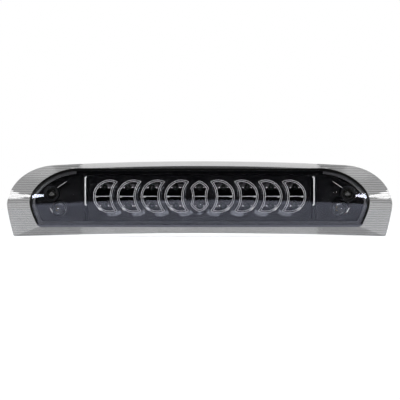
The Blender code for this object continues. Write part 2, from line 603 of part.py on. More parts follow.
def bulb_holders(nylon, rubber, brass, glass):
    inner_rear = CAN_REAR - CAN_WALL
    seal_front, seal_rear = CAN_REAR + GAP, HOLDER_FLANGE_Y - GAP
    for side, name in ((-1, "left"), (1, "right")):
        at = (side * BULB_X, 0, BULB_Z)
        profile = ((HOLDER_NOSE_RADIUS, HOLDER_NOSE_Y), (HOLDER_NOSE_RADIUS, HOLDER_FLANGE_Y))
        profile += ((HOLDER_FLANGE_RADIUS, HOLDER_FLANGE_Y), (HOLDER_FLANGE_RADIUS, HOLDER_FLANGE_REAR))
        made = finish(f"bulb_holder_{name}", turned(profile, 24), nylon, at=at)
        lug_rear = inner_rear - 0.4 * MM
        half = LUG_WIDTH / 2
        lugs = block((-LUG_RADIUS, lug_rear - LUG_THICKNESS, -half), (LUG_RADIUS, lug_rear, half))
        grip_half, wide = GRIP_LENGTH / 2, GRIP_WIDTH / 2
        grip = block((-grip_half, HOLDER_FLANGE_REAR - 1 * MM, -wide), (grip_half, GRIP_REAR, wide))
        mouth = (-SOCKET_HALF_X, HOLDER_NOSE_Y - 1 * MM, -SOCKET_HALF_Z)
        pocket = block(mouth, (SOCKET_HALF_X, SOCKET_END, SOCKET_HALF_Z))
        boolean(made, finish(f"holder_lugs_{name}", lugs, at=at), "UNION")
        boolean(made, finish(f"holder_grip_{name}", grip, at=at), "UNION")
        boolean(made, finish(f"holder_pocket_{name}", pocket, at=at))
        section = ((PORT_RADIUS + 0.4 * MM, seal_front), (HOLDER_FLANGE_RADIUS, seal_front))
        section += ((HOLDER_FLANGE_RADIUS, seal_rear), (PORT_RADIUS + 0.4 * MM, seal_rear))
        finish(f"holder_seal_{name}", turned_ring(section, 24), rubber, at=at)
        cargo_bulb(name, at, glass)
        for z_side, place in ((-1, "lower"), (1, "upper")):
            near = BASE_HALF_Z + 0.4 * MM
            low, high = sorted((z_side * near, z_side * (near + CONTACT_THICKNESS)))
            left, right = -CONTACT_X - CONTACT_WIDTH / 2, -CONTACT_X + CONTACT_WIDTH / 2
            spring = block((left, CONTACT_FRONT, low), (right, SOCKET_END - GAP, high))
            finish(f"bulb_contact_{name}_{place}", spring, brass, at=at)


def cargo_bulb(name, at, glass):
    """A glass capsule with a flat pinched base that stands in the holder's pocket."""
    profile = ((1.2, -16.4), (3.6, -15.6), (5.8, -13.6), (7.2, -10.6))
    profile += ((7.6, -7), (7.6, -1), (6.4, 2), (4.4, 4.2))
    capsule = turned([(r * MM, y * MM) for r, y in profile], 16)
    made = finish(f"cargo_bulb_{name}", capsule, glass, at=at)
    base = block((-BASE_HALF_X, 2 * MM, -BASE_HALF_Z), (BASE_HALF_X, SOCKET_END - 1.5 * MM, BASE_HALF_Z))
    boolean(made, finish(f"bulb_base_{name}", base, at=at), "UNION")


def wire_grommet(rubber):
    """A flanged rubber ring in the rear wall, with the bore that the harness comes out of."""
    inner_rear = CAN_REAR - CAN_WALL
    neck = GROMMET_HOLE - GAP
    section = (
        (GROMMET_BORE, inner_rear - 2.3 * MM),
        (GROMMET_FLANGE, inner_rear - 2.3 * MM),
        (GROMMET_FLANGE, inner_rear - GAP),
        (neck, inner_rear - GAP),
        (neck, CAN_REAR + GAP),
        (GROMMET_FLANGE, CAN_REAR + GAP),
        (GROMMET_FLANGE - 1 * MM, CAN_REAR + 2.6 * MM),
        (GROMMET_BORE + 1.6 * MM, CAN_REAR + 6.5 * MM),
        (GROMMET_BORE, CAN_REAR + 6.5 * MM),
    )
    finish("wire_grommet", turned_ring(section, 20), rubber)


def build():
    for old in list(bpy.data.objects):
        bpy.data.objects.remove(old)
    black = material("black_abs", (0.012, 0.012, 0.014), 0.35)
    steel = material("zinc_steel", (0.55, 0.55, 0.53), 0.3, metallic=1)
    rubber = material("black_rubber", (0.02, 0.02, 0.02), 0.8)
    lens(material("smoked_polycarbonate", (0.2, 0.2, 0.22), 0.05, alpha=0.35))
    housing(black)
    gasket(material("grey_foam", (0.08, 0.08, 0.085), 0.95))
    led_reflector(material("dark_chrome", (0.06, 0.06, 0.065), 0.12, metallic=1))
    leds(material("clear_epoxy", (0.8, 0.82, 0.85), 0.08, alpha=0.45))
    led_board(material("green_laminate", (0.02, 0.1, 0.04), 0.5))
    board_screws(steel)
    board_parts(material("resistor_ceramic", (0.55, 0.45, 0.3), 0.6), black)
    dividers(material("grey_baffle", (0.6, 0.6, 0.58), 0.25))
    gloss = material("gloss_black_abs", (0.01, 0.01, 0.012), 0.12)
    cargo_reflectors(gloss)
    screw_sleeves(gloss)
    mounting_screws(steel, rubber)
    brass = material("brass", (0.7, 0.5, 0.2), 0.3, metallic=1)
    glass = material("bulb_glass", (0.85, 0.87, 0.88), 0.03, alpha=0.35)
    bulb_holders(material("grey_nylon", (0.3, 0.3, 0.31), 0.5), rubber, brass, glass)
    wire_grommet(rubber)


build()
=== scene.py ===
import json
from math import acos, cos, pi, radians, sin, sqrt, tau

import bmesh
import bpy
from mathutils import Matrix, Vector

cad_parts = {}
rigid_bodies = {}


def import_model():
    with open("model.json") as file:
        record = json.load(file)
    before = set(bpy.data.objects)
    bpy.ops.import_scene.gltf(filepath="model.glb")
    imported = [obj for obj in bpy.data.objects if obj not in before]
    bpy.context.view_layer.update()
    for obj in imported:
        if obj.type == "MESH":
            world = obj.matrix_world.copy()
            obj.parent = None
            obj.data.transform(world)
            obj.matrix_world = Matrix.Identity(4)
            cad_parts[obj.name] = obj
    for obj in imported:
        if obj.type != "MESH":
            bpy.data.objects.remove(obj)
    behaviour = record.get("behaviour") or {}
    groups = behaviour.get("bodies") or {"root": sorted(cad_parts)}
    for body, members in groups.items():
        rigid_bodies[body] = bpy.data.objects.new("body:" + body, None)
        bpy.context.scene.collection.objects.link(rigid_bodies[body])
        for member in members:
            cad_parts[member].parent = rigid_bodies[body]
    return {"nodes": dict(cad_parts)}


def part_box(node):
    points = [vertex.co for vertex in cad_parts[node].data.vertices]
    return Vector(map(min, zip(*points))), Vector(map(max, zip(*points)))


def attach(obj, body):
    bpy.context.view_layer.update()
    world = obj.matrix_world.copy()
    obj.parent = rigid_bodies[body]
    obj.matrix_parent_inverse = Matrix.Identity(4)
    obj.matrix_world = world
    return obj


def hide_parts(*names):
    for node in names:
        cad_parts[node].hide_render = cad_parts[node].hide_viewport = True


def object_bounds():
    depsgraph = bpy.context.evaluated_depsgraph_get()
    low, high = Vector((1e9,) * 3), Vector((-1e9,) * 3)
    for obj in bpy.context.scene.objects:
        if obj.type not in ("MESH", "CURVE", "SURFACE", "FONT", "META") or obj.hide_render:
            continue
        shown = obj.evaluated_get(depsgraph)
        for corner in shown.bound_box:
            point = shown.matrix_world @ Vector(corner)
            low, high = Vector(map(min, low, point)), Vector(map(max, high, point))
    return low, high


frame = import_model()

CAD_LOW, CAD_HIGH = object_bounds()
MM = 0.001  # shapes are worked out in millimetres, and scaled by this as their mesh is made
THIN = 0.001  # stands for nothing where a shape needs some size
BODY = "lamp_body"
SIDES = ((-1, "left"), (1, "right"))

# Lens outlines, as in the CAD
LIP_TOP = 44.2
LIP_CROWN = 3100
LIP_SHOULDER = ((165, 39.8), (198, 38), (217.5, 18), (220, -4))
LIP_SIDE = ((220, -4), (220.1, -10), (216.5, -26), (212.4, -41.5))
LIP_BOTTOM = -38
LIP_DROOP = 13000
LIP_CORNER = 2
FACE_TOP = 36.2
FACE_SHOULDER = ((138, 36.2), (165, 36.2), (193.8, 16), (193.8, -2))
FACE_SIDE = ((193.8, -2), (193.8, -10), (189.5, -19), (184.2, -30.8))
FACE_BOTTOM = -30.8
FACE_CORNER = 5
LEAST_CORNER = 1
N_TOP, N_SHOULDER = 28, 96
N_SIDE, N_CORNER, N_BOTTOM = 56, 8, 44
LENS_REACH = 31.9
BOW_RADIUS = 2300
ROLL_RADIUS = 180
CREST = 0.8
CREST_RADIUS = 3400
LIP_REAR, LIP_FRONT = -1.5, -4.4
LENS_WALL = 2.5
FACE_FILLET = 0.4
BORDER = 2.6  # band inside the face's edge, painted black where the edge mirrors the dark room: a painted dark reflection
BORDER_FOOT = -27.5  # below this the band is glossy and shines as the face does; above it the black is painted dark reflection
FLARE = 0.7  # hollow of the skirt between the face and the lip
TUNNEL_HOLE = 9
SKIRT_RINGS = 22
RIB_PITCH, RIB_DEPTH = 2.6, 0.03
RIB_FROM = 132

# Screws, cups and the rest, as in the CAD
SCREW_X, SCREW_Z = 168.8, 7.1
BULB_X, BULB_Z = 160, -10
CUPS = 9
CUP_PITCH = 27.1
CUP_RADIUS, CUP_CUT_RADIUS = 16.6, 27
CUP_SHIFT = 6.1
CUP_Z = 4.2
COLLAR = 2.2
BEAD = 0.4  # width of the bead along each edge of a collar, coloured near-white as a painted highlight
GAP_ARC_RADIUS = 22.9
LED_HALF_PITCH = 10.5
BOWL_RADII = (22, 13, 13.5)
BOWL_Y = -24.2
REFLECTOR_HALF_WIDTH = 127
REFLECTOR_TOP, REFLECTOR_BOTTOM = 28, -24
REFLECTOR_FRONT, COLLAR_FRONT, REFLECTOR_REAR = -19.7, -21.7, -10.2
LED_RADIUS, LED_FLANGE_RADIUS = 2.5, 2.9
LED_HOLE = 3.3
CUP_NUMBERS = range(-(CUPS // 2), CUPS // 2 + 1)
LEDGE = 1  # the ledges' material slot in the cups' trim, a lighter chrome that paints highlights

# Material slots of the lens; the low skirt slots are darker copies, painted shade, and the border above its
# foot is a painted dark reflection
FACE, SKIRT, INNER, RIBBED, EDGE, EDGE_LOW, SKIRT_LOW, RIBBED_LOW = range(8)
LENS_FINISHES = "face skirt inner skirt_ribbed border border_low skirt_low skirt_ribbed_low"
FACE_RINGS = 12

# Camera: level, far enough off that the view is nearly parallel
CAMERA_DISTANCE = 6000
VIEW_WIDTH = 456.8
CAMERA_X = 0.4
SENSOR = 36


# Materials
class Nodes:
    """A node tree under construction."""

    def __init__(self, owner, output):
        owner.use_nodes = True
        self.tree = owner.node_tree
        self.tree.nodes.clear()
        self.out = self.node(output)

    def node(self, kind, links=None, values=None, **props):
        made = self.tree.nodes.new("ShaderNode" + kind)
        for key, value in props.items():
            setattr(made, key, value)
        for key, value in (values or {}).items():
            made.inputs[key].default_value = value
        for key, socket in (links or {}).items():
            self.tree.links.new(socket, made.inputs[key])
        return made

    def math(self, operation, a, b=0.0):
        made = self.node("Math", operation=operation)
        for place, value in enumerate((a, b)):
            if isinstance(value, (int, float)):
                made.inputs[place].default_value = value
            else:
                self.tree.links.new(value, made.inputs[place])
        return made.outputs[0]

    def finish(self, shader):
        self.tree.links.new(shader.outputs[0], self.out.inputs["Surface"])


class Shade(Nodes):
    """A node material under construction."""

    def __init__(self, name):
        self.material = bpy.data.materials.new(name)
        super().__init__(self.material, "OutputMaterial")
        self.place = self.node("TexCoord").outputs["Object"]

    def stretch(self, scale):
        return self.node("Mapping", {"Vector": self.place}, {"Scale": scale}).outputs[0]

    def noise(self, scale, detail=3.0, rough=0.55, across=None):
        links = {"Vector": self.place if across is None else across}
        values = {"Scale": scale, "Detail": detail, "Roughness": rough}
        return self.node("TexNoise", links, values).outputs["Fac"]

    def span(self, value, low, high, to_low, to_high):
        values = {"From Min": low, "From Max": high, "To Min": to_low, "To Max": to_high}
        return self.node("MapRange", {"Value": value}, values).outputs["Result"]

    def patchy(self, scale, low, high, detail=3.0):
        """Noise stretched over a range of values."""
        return self.span(self.noise(scale, detail), 0.3, 0.7, low, high)

    def blend(self, factor, first, second):
        made = self.node("Mix", {"Factor": factor}, data_type="RGBA")
        for key, colour in ((6, first), (7, second)):
            made.inputs[key].default_value = (*colour, 1)
        return made.outputs[2]

    def bump(self, height, distance):
        return self.node("Bump", {"Height": height}, {"Distance": distance}).outputs["Normal"]


def plastic(name, low, high, scale, rough, grain, grain_scale, metallic=0.0, specular=0.5):
    """A moulded or plated solid: mottled colour, uneven roughness, a fine grain and faint scuffs."""
    s = Shade(name)
    scuffs = s.noise(160, 3, 0.6, s.stretch((1, 1, 9)))
    uneven = s.math("ADD", s.patchy(scale * 2.3, *rough), s.span(scuffs, 0.55, 0.75, 0, rough[1] * 0.3))
    colour, grain = s.blend(s.noise(scale, 4), low, high), s.bump(s.noise(grain_scale, 2, 0.6), grain)
    s.finish(s.node(
        "BsdfPrincipled",
        {"Base Color": colour, "Roughness": uneven, "Normal": grain},
        {"Metallic": metallic, "Specular IOR Level": specular},
    ))
    return s.material


def clear(name, tint, tint_far, rough, index=1.5, haze=0.0, grain=1e-7, grain_scale=900, shine=(1, 1, 1),
          ribs=0.0, mirrored=None):
    """Clear plastic or glass: it lets the light straight through, tinted, and mirrors by angle."""
    s = Shade(name)
    mottle = s.noise(35, 3)
    # With ribs, the tint is painted in darker and lighter stripes by height: painted shade of the ribs.
    if ribs:
        height = s.node("SeparateXYZ", {0: s.place}).outputs[2]
        wave = s.math("SINE", s.math("MULTIPLY", height, tau / (RIB_PITCH * MM)))
        mottle = s.math("ADD", s.math("MULTIPLY", mottle, 1 - ribs), s.span(wave, -1, 1, 0, ribs))
    normal = s.bump(s.noise(grain_scale, 2), grain)
    through = s.node("BsdfTransparent", {"Color": s.blend(mottle, tint, tint_far)})
    if haze:
        milky = s.node("BsdfDiffuse", {"Normal": normal}, {"Color": (*grey(0.3, 0.01), 1)})
        cloud = s.noise(220, 4, 0.6, s.stretch((0.25, 1, 3)))
        amount = s.span(cloud, 0.3, 0.7, haze * 0.6, haze * 1.4)
        through = s.node("MixShader", {0: amount, 1: through.outputs[0], 2: milky.outputs[0]})
    gloss = {"Roughness": s.patchy(90, *rough, 4), "Normal": normal}
    mirror = s.node("BsdfGlossy", gloss, {"Color": (*shine, 1)})
    if mirrored:
        share = s.patchy(60, *mirrored)
    else:
        share = s.node("Fresnel", {"Normal": normal}, {"IOR": index}).outputs[0]
    s.finish(s.node("MixShader", {0: share, 1: through.outputs[0], 2: mirror.outputs[0]}))
    return s.material


def grey(level, blue=0.0):
    """A neutral colour, or one that leans to blue."""
    return level, level, level + blue


def make_materials():
    skirt, ribbed = {"rough": (0.02, 0.08), "grain": 4e-6}, {"rough": (0.03, 0.07), "grain": 2e-6, "ribs": 0.75}
    return {
        "face": clear("lens_face_smoked", grey(0.72, 0.02), grey(0.76, 0.02), (0.0, 0.015), 1.54,
                      grain=2e-7, grain_scale=500, shine=(0.52, 0.55, 0.71)),
        "inner": clear("lens_inside", grey(0.93), grey(0.96), (0.05, 0.12), mirrored=(0.004, 0.012)),
        "skirt": clear("lens_skirt", grey(0.7), grey(0.76), haze=0.03, shine=grey(0.8), **skirt),
        # The lower skirt and the ribbed ends are darker tinted copies of the skirt: painted shade.
        "skirt_low": clear("lens_skirt_low_painted_shade", grey(0.27), grey(0.35), haze=0.05, shine=grey(0.6), **skirt),
        "skirt_ribbed_low": clear("lens_skirt_ribbed_low_painted_shade", grey(0.14), grey(0.26), haze=0.06, shine=grey(0.6),
                                  **ribbed),
        "skirt_ribbed": clear("lens_skirt_ribbed", grey(0.2), grey(0.34), haze=0.08, **ribbed),
        "chrome": plastic("dark_chrome_plate", (0.035, 0.033, 0.034), (0.06, 0.058, 0.06), 60, (0.06, 0.13),
                          3e-7, 700, 1.0),
        # The border is black with almost no shine: a painted dark reflection of the lens edge.
        "border": plastic("lens_border_painted_dark", grey(0.001), grey(0.002), 80, (0.1, 0.2), 5e-7, 700,
                          specular=0.04),
        "border_low": plastic("lens_glossy_border", (0.014, 0.015, 0.022), (0.02, 0.021, 0.03), 80, (0.04, 0.1),
                              5e-7, 700),
        # A lighter copy of the dark chrome for ledges, gap bars and the bulb bezel: painted highlights.
        "ledge": plastic("ledge_chrome_painted_highlight", (0.17, 0.175, 0.19), (0.22, 0.225, 0.24), 60, (0.12, 0.2),
                         3e-7, 700, 1.0),
        # Darkened steel: painted shade of the deep screw tunnels, shared by the LEDs' inner cups.
        "dark_steel": plastic("dark_steel_painted_shade", grey(0.035), grey(0.08, -0.002), 260, (0.2, 0.36), 4e-6, 1500,
                              1.0),
        # Near-white beads, ridges and bosses: painted highlights along the cups' edges.
        "rim": plastic("rim_bead_painted_highlight", grey(0.92, 0.01), grey(0.97, 0.01), 60, (0.25, 0.35), 3e-7, 900,
                       0.1),
        "rim_strip": plastic("housing_rim_plastic", grey(0.02, 0.001), grey(0.032, 0.002), 60, (0.3, 0.45),
                             2e-5, 1400),
        "gloss": plastic("gloss_black_plastic", grey(0.0015, 0.0005), grey(0.003, 0.0005), 50, (0.05, 0.1),
                         3e-7, 600, specular=0.3),
        "housing": plastic("housing_black_plastic", grey(0.01, 0.001), grey(0.02, 0.001), 45, (0.36, 0.52),
                           4e-5, 1500),
        "foam": plastic("gasket_cell_foam", grey(0.02, 0.001), grey(0.05, 0.002), 500, (0.85, 0.98), 3e-4, 900,
                        specular=0.2),
        # Near-white crests and bars: painted highlights.
        "baffle": plastic("baffle_plate", grey(0.82, -0.03), grey(0.9, -0.03), 80, (0.15, 0.25), 5e-7, 600,
                          0.2),
        "board": plastic("board_solder_mask", (0.004, 0.03, 0.012), (0.008, 0.045, 0.018), 120, (0.25, 0.4),
                         8e-6, 800),
        "resistor": plastic("resistor_lacquer", (0.45, 0.34, 0.2), (0.56, 0.44, 0.28), 300, (0.35, 0.5),
                            1e-5, 1200),
        "diode": plastic("diode_epoxy", grey(0.012, 0.001), grey(0.022), 300, (0.3, 0.5), 1e-5, 1200),
        "steel": plastic("zinc_plated_steel", grey(0.5, -0.02), (0.62, 0.61, 0.57), 260, (0.22, 0.38), 4e-6,
                         1500, 1.0),
        "rubber": plastic("black_moulded_rubber", grey(0.014), grey(0.028), 200, (0.65, 0.85), 2e-5, 1300,
                          specular=0.3),
        "seal": plastic("silicone_seal", (0.3, 0.07, 0.02), (0.4, 0.11, 0.04), 200, (0.5, 0.65), 1e-5, 1000),
        "nylon": plastic("holder_grey_nylon", grey(0.22, 0.005), grey(0.32, 0.005), 120, (0.42, 0.6), 2e-5,
                         1800),
        "brass": plastic("contact_spring_brass", (0.62, 0.42, 0.15), (0.76, 0.54, 0.22), 300, (0.2, 0.36),
                         4e-6, 1500, 1.0),
        "epoxy": clear("led_clear_epoxy", (0.86, 0.87, 0.9), (0.9, 0.91, 0.94), (0.02, 0.08)),
        "glass": clear("bulb_clear_glass", (0.93, 0.94, 0.95), (0.96, 0.97, 0.98), (0.0, 0.02), 1.45),
        "floor": plastic("studio_floor", (0.84, 0.85, 0.87), (0.86, 0.87, 0.89), 2, (0.8, 0.95), 1e-6, 50,
                         specular=0.2),
    }


# Geometry helpers
def mesh_data(name, mesh):
    """Turns a bmesh in millimetres into mesh data in metres."""
    bmesh.ops.recalc_face_normals(mesh, faces=mesh.faces)
    mesh.transform(Matrix.Scale(MM, 4))
    data = bpy.data.meshes.new(name)
    mesh.to_mesh(data)
    mesh.free()
    return data


def sharpen(made, angle):
    made.data.set_sharp_from_angle(angle=radians(angle))


def piece(name, mesh, finishes, replaced=None, body=BODY, angle=30):
    """Turns a bmesh into a smooth-shaded piece that rides on a body. Its finishes fill its material slots."""
    data = mesh_data(name, mesh)
    data.shade_smooth()
    made = bpy.data.objects.new(name, data)
    sharpen(made, angle)
    bpy.context.scene.collection.objects.link(made)
    for finish in finishes.split():
        data.materials.append(MATERIALS[finish])
    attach(made, body)
    if replaced:
        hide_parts(replaced)
    return made


def cad_box(name):
    """Corners of a CAD node's box, in millimetres."""
    return [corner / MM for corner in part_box(name)]


def bezier(points, count):
    a, b, c, d = (Vector(p) for p in points)
    steps = (i / count for i in range(count))
    return [a * (1 - t) ** 3 + 3 * b * t * (1 - t) ** 2 + 3 * c * t * t * (1 - t) + d * t**3 for t in steps]


def shifted(points, distance):
    moved = []
    for i, point in enumerate(points):
        along = points[min(i + 1, len(points) - 1)] - points[max(i - 1, 0)]
        moved.append(point + Vector((along.y, -along.x)).normalized() * distance)
    return moved


def half_outline(shoulder, side, top_z, bottom_z, radius, inset):
    reach = shoulder[0][0]
    line = [Vector((reach * i / N_TOP, top_z(reach * i / N_TOP))) for i in range(N_TOP)]
    line += bezier(shoulder, N_SHOULDER) + bezier(side, N_SIDE) + [Vector(side[-1])]
    line = shifted(line, inset)
    line[0].x = 0
    end = line[-1]
    foot_z = bottom_z(end.x) + inset
    kept = [p for p in line if p.y > foot_z + radius * 0.9]
    dropped = len(line) - len(kept)
    before = kept[-1]
    beyond = line[-2] if len(kept) == len(line) else end
    foot = before.lerp(beyond, (before.y - foot_z) / (before.y - beyond.y))
    radius = max(radius - inset, LEAST_CORNER)
    leaving = foot + (before - foot).normalized() * radius
    arriving = Vector((foot.x - radius, foot_z))
    corner = N_CORNER + dropped
    for i in range(corner):
        share = i / (corner - 1)
        kept.append(leaving.lerp(foot, share).lerp(foot.lerp(arriving, share), share))
    for i in range(1, N_BOTTOM + 1):
        x = arriving.x * (1 - i / N_BOTTOM)
        kept.append(Vector((x, bottom_z(x) + inset)))
    return kept


def lip_half(inset=0):
    return half_outline(
        LIP_SHOULDER,
        LIP_SIDE,
        lambda x: LIP_TOP - x * x / (2 * LIP_CROWN),
        lambda x: LIP_BOTTOM - x * x / LIP_DROOP,
        LIP_CORNER,
        inset,
    )


def face_half(inset=0):
    level = (lambda x: FACE_TOP), (lambda x: FACE_BOTTOM)
    return half_outline(FACE_SHOULDER, FACE_SIDE, *level, FACE_CORNER, inset)


def whole(half):
    return half + [Vector((-p.x, p.y)) for p in reversed(half[1:-1])]


def face_y(x, z):
    crest = CREST - x * x / (2 * CREST_RADIUS)
    return -LENS_REACH + x * x / (2 * BOW_RADIUS) + (z - crest) ** 2 / (2 * ROLL_RADIUS)


def face_normal(x, z):
    crest = CREST - x * x / (2 * CREST_RADIUS)
    slope_x = x / BOW_RADIUS + (z - crest) * x / (ROLL_RADIUS * CREST_RADIUS)
    return Vector((slope_x, -1, (z - crest) / ROLL_RADIUS)).normalized()


def flat_ring(outline, y):
    return [Vector((p.x, y, p.y)) for p in outline]


def face_ring(outline, behind):
    return [Vector((p.x, face_y(p.x, p.y) + behind, p.y)) for p in outline]


def shrunk(outline, share):
    middle = (FACE_TOP + FACE_BOTTOM) / 2
    across = 1 - (1 - share) * 0.12
    return [Vector((p.x * across, middle + (p.y - middle) * share)) for p in outline]


def skin(mesh, rings, slots=0, closed=False):
    """Bands of quads through rings of equal length, in one material slot or one for each band."""
    rows = [[mesh.verts.new(point) for point in ring] for ring in rings]
    pairs = zip(rows, rows[1:] + (rows[:1] if closed else []))
    for band, (row, following) in enumerate(pairs):
        for i in range(len(row)):
            j = (i + 1) % len(row)
            made = mesh.faces.new((row[i], row[j], following[j], following[i]))
            made.material_index = slots if isinstance(slots, int) else slots[band]
    return rows


def capped(mesh, rings, slots=0, end=0):
    """A solid through rings of equal length, closed at both ends."""
    rows = skin(mesh, rings, slots)
    for row in (rows[0], rows[-1]):
        mesh.faces.new(row).material_index = end
    return mesh


def seam_cap(mesh, row, slot):
    """Closes a ring by joining its upper half to its lower half."""
    count = len(row)
    half = count // 2
    for i in range(half // 2):
        for side in (1, -1):
            places = (side * i, side * (i + 1), half - side * (i + 1), half - side * i)
            corners = dict.fromkeys(row[place % count] for place in places)
            if len(corners) > 2:
                mesh.faces.new(corners).material_index = slot


def circle(radius, segments, centre=(0, 0)):
    turns = (tau * i / segments for i in range(segments))
    return [Vector((centre[0] + radius * sin(t), centre[1] + radius * cos(t))) for t in turns]


def rounded(profile, radius, steps=3):
    """A (radius, y) profile whose inner corners are rounded where there is room."""
    made = [profile[0]]
    for before, corner, after in zip(profile, profile[1:], profile[2:]):
        a, b, c = Vector(before), Vector(corner), Vector(after)
        into, out = a - b, c - b
        reach = min(radius, into.length * 0.45, out.length * 0.45)
        first, last = b + into.normalized() * reach, b + out.normalized() * reach
        for i in range(steps + 1):
            share = i / steps
            made.append(tuple(first.lerp(b, share).lerp(b.lerp(last, share), share)))
    made.append(profile[-1])
    return made


def lathe(profile, segments, centre=(0, 0), closed=False, mesh=None, slots=0):
    """A turned solid or ring about an axis along Y from (radius, y) pairs."""
    mesh = mesh or bmesh.new()
    rings = [flat_ring(circle(max(radius, THIN), segments, centre), y) for radius, y in profile]
    if closed:
        skin(mesh, rings, slots, True)
        return mesh
    return capped(mesh, rings, slots)


def rod(radius, front, rear, segments, centre=(0, 0), mesh=None):
    return lathe(((radius, front), (radius, rear)), segments, centre, mesh=mesh)


def block(mesh, centre, size, turn=0):
    """Adds a box, turned about Y by so many degrees, and returns its corners."""
    turned = Matrix.Rotation(radians(turn), 4, "Y")
    matrix = Matrix.Translation(centre) @ turned @ Matrix.Diagonal((*size, 1))
    return bmesh.ops.create_cube(mesh, size=1, matrix=matrix)["verts"]


def cut(target, tools, operation="DIFFERENCE"):
    """Applies a Boolean with a throwaway tool built from one bmesh."""
    data = mesh_data("tool", tools)
    tool = bpy.data.objects.new("tool", data)
    bpy.context.scene.collection.objects.link(tool)
    modifier = target.modifiers.new("cut", "BOOLEAN")
    modifier.operation = operation
    modifier.solver = "EXACT"
    modifier.object = tool
    bpy.context.view_layer.update()
    graph = bpy.context.evaluated_depsgraph_get()
    made = bpy.data.meshes.new_from_object(target.evaluated_get(graph))
    target.modifiers.clear()
    old = target.data
    target.data = made
    bpy.data.meshes.remove(old)
    bpy.data.objects.remove(tool)
    bpy.data.meshes.remove(data)


# Lens
def ribbed(point, outward):
    if abs(point.x) < RIB_FROM:
        return point
    wave = abs((point.z / RIB_PITCH) % 1 - 0.5) * 2
    return point - outward * RIB_DEPTH * wave


def skirt_ring(start, end, share):
    """One ring of the skirt, a share of the way from the face's edge to the lip."""
    ring = []
    for i, (a, b) in enumerate(zip(start, end)):
        along = start[(i + 1) % len(start)] - start[i - 1]
        outward = along.cross(b - a).normalized()
        if outward.y > 0:
            outward = -outward
        ease = min(1, share * 8, (1 - share) * 8)
        point = ribbed(a.lerp(b, share), outward * ease)
        ring.append(point - outward * FLARE * 4 * share * (1 - share))
    return ring


def lens_slot(polygon):
    """The skirt's and the border's slot depend on where the polygon lies: the lower skirt and its
    downward-facing ribbed facets take darker copies, painted shade, and the border below its foot takes the
    glossy finish.
    """
    slot, middle = polygon.material_index, polygon.calc_center_median()
    if slot == SKIRT and min(abs(v.co.x) for v in polygon.verts) >= RIB_FROM:
        polygon.normal_update()
        return RIBBED_LOW if abs(polygon.normal.z) > 0.7 and middle.z < 0 else RIBBED
    if slot == SKIRT and middle.z < 0:
        return SKIRT_LOW
    return EDGE_LOW if slot == EDGE and middle.z < BORDER_FOOT else slot


def build_lens():
    rings, slots = [], []

    def add(slot, *more):
        rings.extend(more)
        slots.extend([slot] * len(more))

    halves = lip_half(), lip_half(LENS_WALL), face_half(), face_half(BORDER)
    lip, inner_lip, face, window = (whole(half) for half in halves)
    steps = [step / (FACE_RINGS + 1) for step in range(1, FACE_RINGS + 1)]
    add(FACE, *(face_ring(shrunk(window, share), 0) for share in steps))
    add(EDGE, face_ring(window, 0))
    for share in (0.0, 0.25, 0.5, 0.75, 1.0):
        turn = share * pi / 2
        inset, behind = FACE_FILLET * (1 - sin(turn)), FACE_FILLET * (1 - cos(turn))
        add(EDGE if share < 1 else SKIRT, face_ring(whole(face_half(max(inset, THIN))), behind))
    start, end = rings[-1], flat_ring(lip, LIP_FRONT)
    add(SKIRT, *(skirt_ring(start, end, step / SKIRT_RINGS) for step in range(1, SKIRT_RINGS)))
    add(INNER, skirt_ring(start, end, 1), flat_ring(lip, (LIP_FRONT + LIP_REAR) / 2), flat_ring(lip, LIP_REAR))
    add(INNER, flat_ring(inner_lip, LIP_REAR), flat_ring(inner_lip, LIP_FRONT + LENS_WALL / 2))
    add(INNER, face_ring(whole(face_half(LENS_WALL)), LENS_WALL + FACE_FILLET))
    add(INNER, face_ring(whole(face_half(LENS_WALL + FACE_FILLET)), LENS_WALL))
    add(INNER, *(face_ring(shrunk(face, share * 0.93), LENS_WALL) for share in reversed(steps)))
    mesh = bmesh.new()
    rows = skin(mesh, rings, slots)
    seam_cap(mesh, rows[0], FACE)
    seam_cap(mesh, rows[-1], INNER)
    for polygon in mesh.faces:
        polygon.material_index = lens_slot(polygon)
    made = piece("lens_shell", mesh, LENS_FINISHES, "lens", angle=24)
    front, tools = face_y(SCREW_X, SCREW_Z), bmesh.new()
    for side, _ in SIDES:
        rod(TUNNEL_HOLE, front - 5, front + 5, 64, (side * SCREW_X, SCREW_Z), tools)
    cut(made, tools)
    sharpen(made, 24)
    polish_face(made.data)


def polish_face(data):
    """Gives the face the exact normals of its surface, so that what it mirrors stays straight."""
    normals = [Vector(n.vector) for n in data.corner_normals]
    for polygon in data.polygons:
        centre = polygon.center / MM
        off_face = abs(centre.y - face_y(centre.x, centre.z)) > 0.05
        if off_face or polygon.material_index not in (FACE, EDGE, EDGE_LOW):
            continue
        if polygon.normal.dot(face_normal(centre.x, centre.z)) < 0.99:
            continue
        for loop in polygon.loop_indices:
            co = data.vertices[data.loops[loop].vertex_index].co / MM
            normals[loop] = face_normal(co.x, co.z)
    data.normals_split_custom_set(normals)


# Cups
def arc(centre, radius, start, end, count):
    turns = (start + (end - start) * i / count for i in range(count))
    return [Vector((centre + radius * cos(t), radius * sin(t))) for t in turns]


def side_cup(rim, cut_radius):
    crossing = (rim**2 - cut_radius**2 + CUP_PITCH**2) / (2 * CUP_PITCH)
    corner = acos(crossing / rim)
    cut_corner = acos((crossing - CUP_PITCH) / cut_radius)
    outer = arc(CUP_SHIFT, rim, corner, tau - corner, 104)
    return outer + arc(CUP_SHIFT + CUP_PITCH, cut_radius, tau - cut_corner, cut_corner, 40)


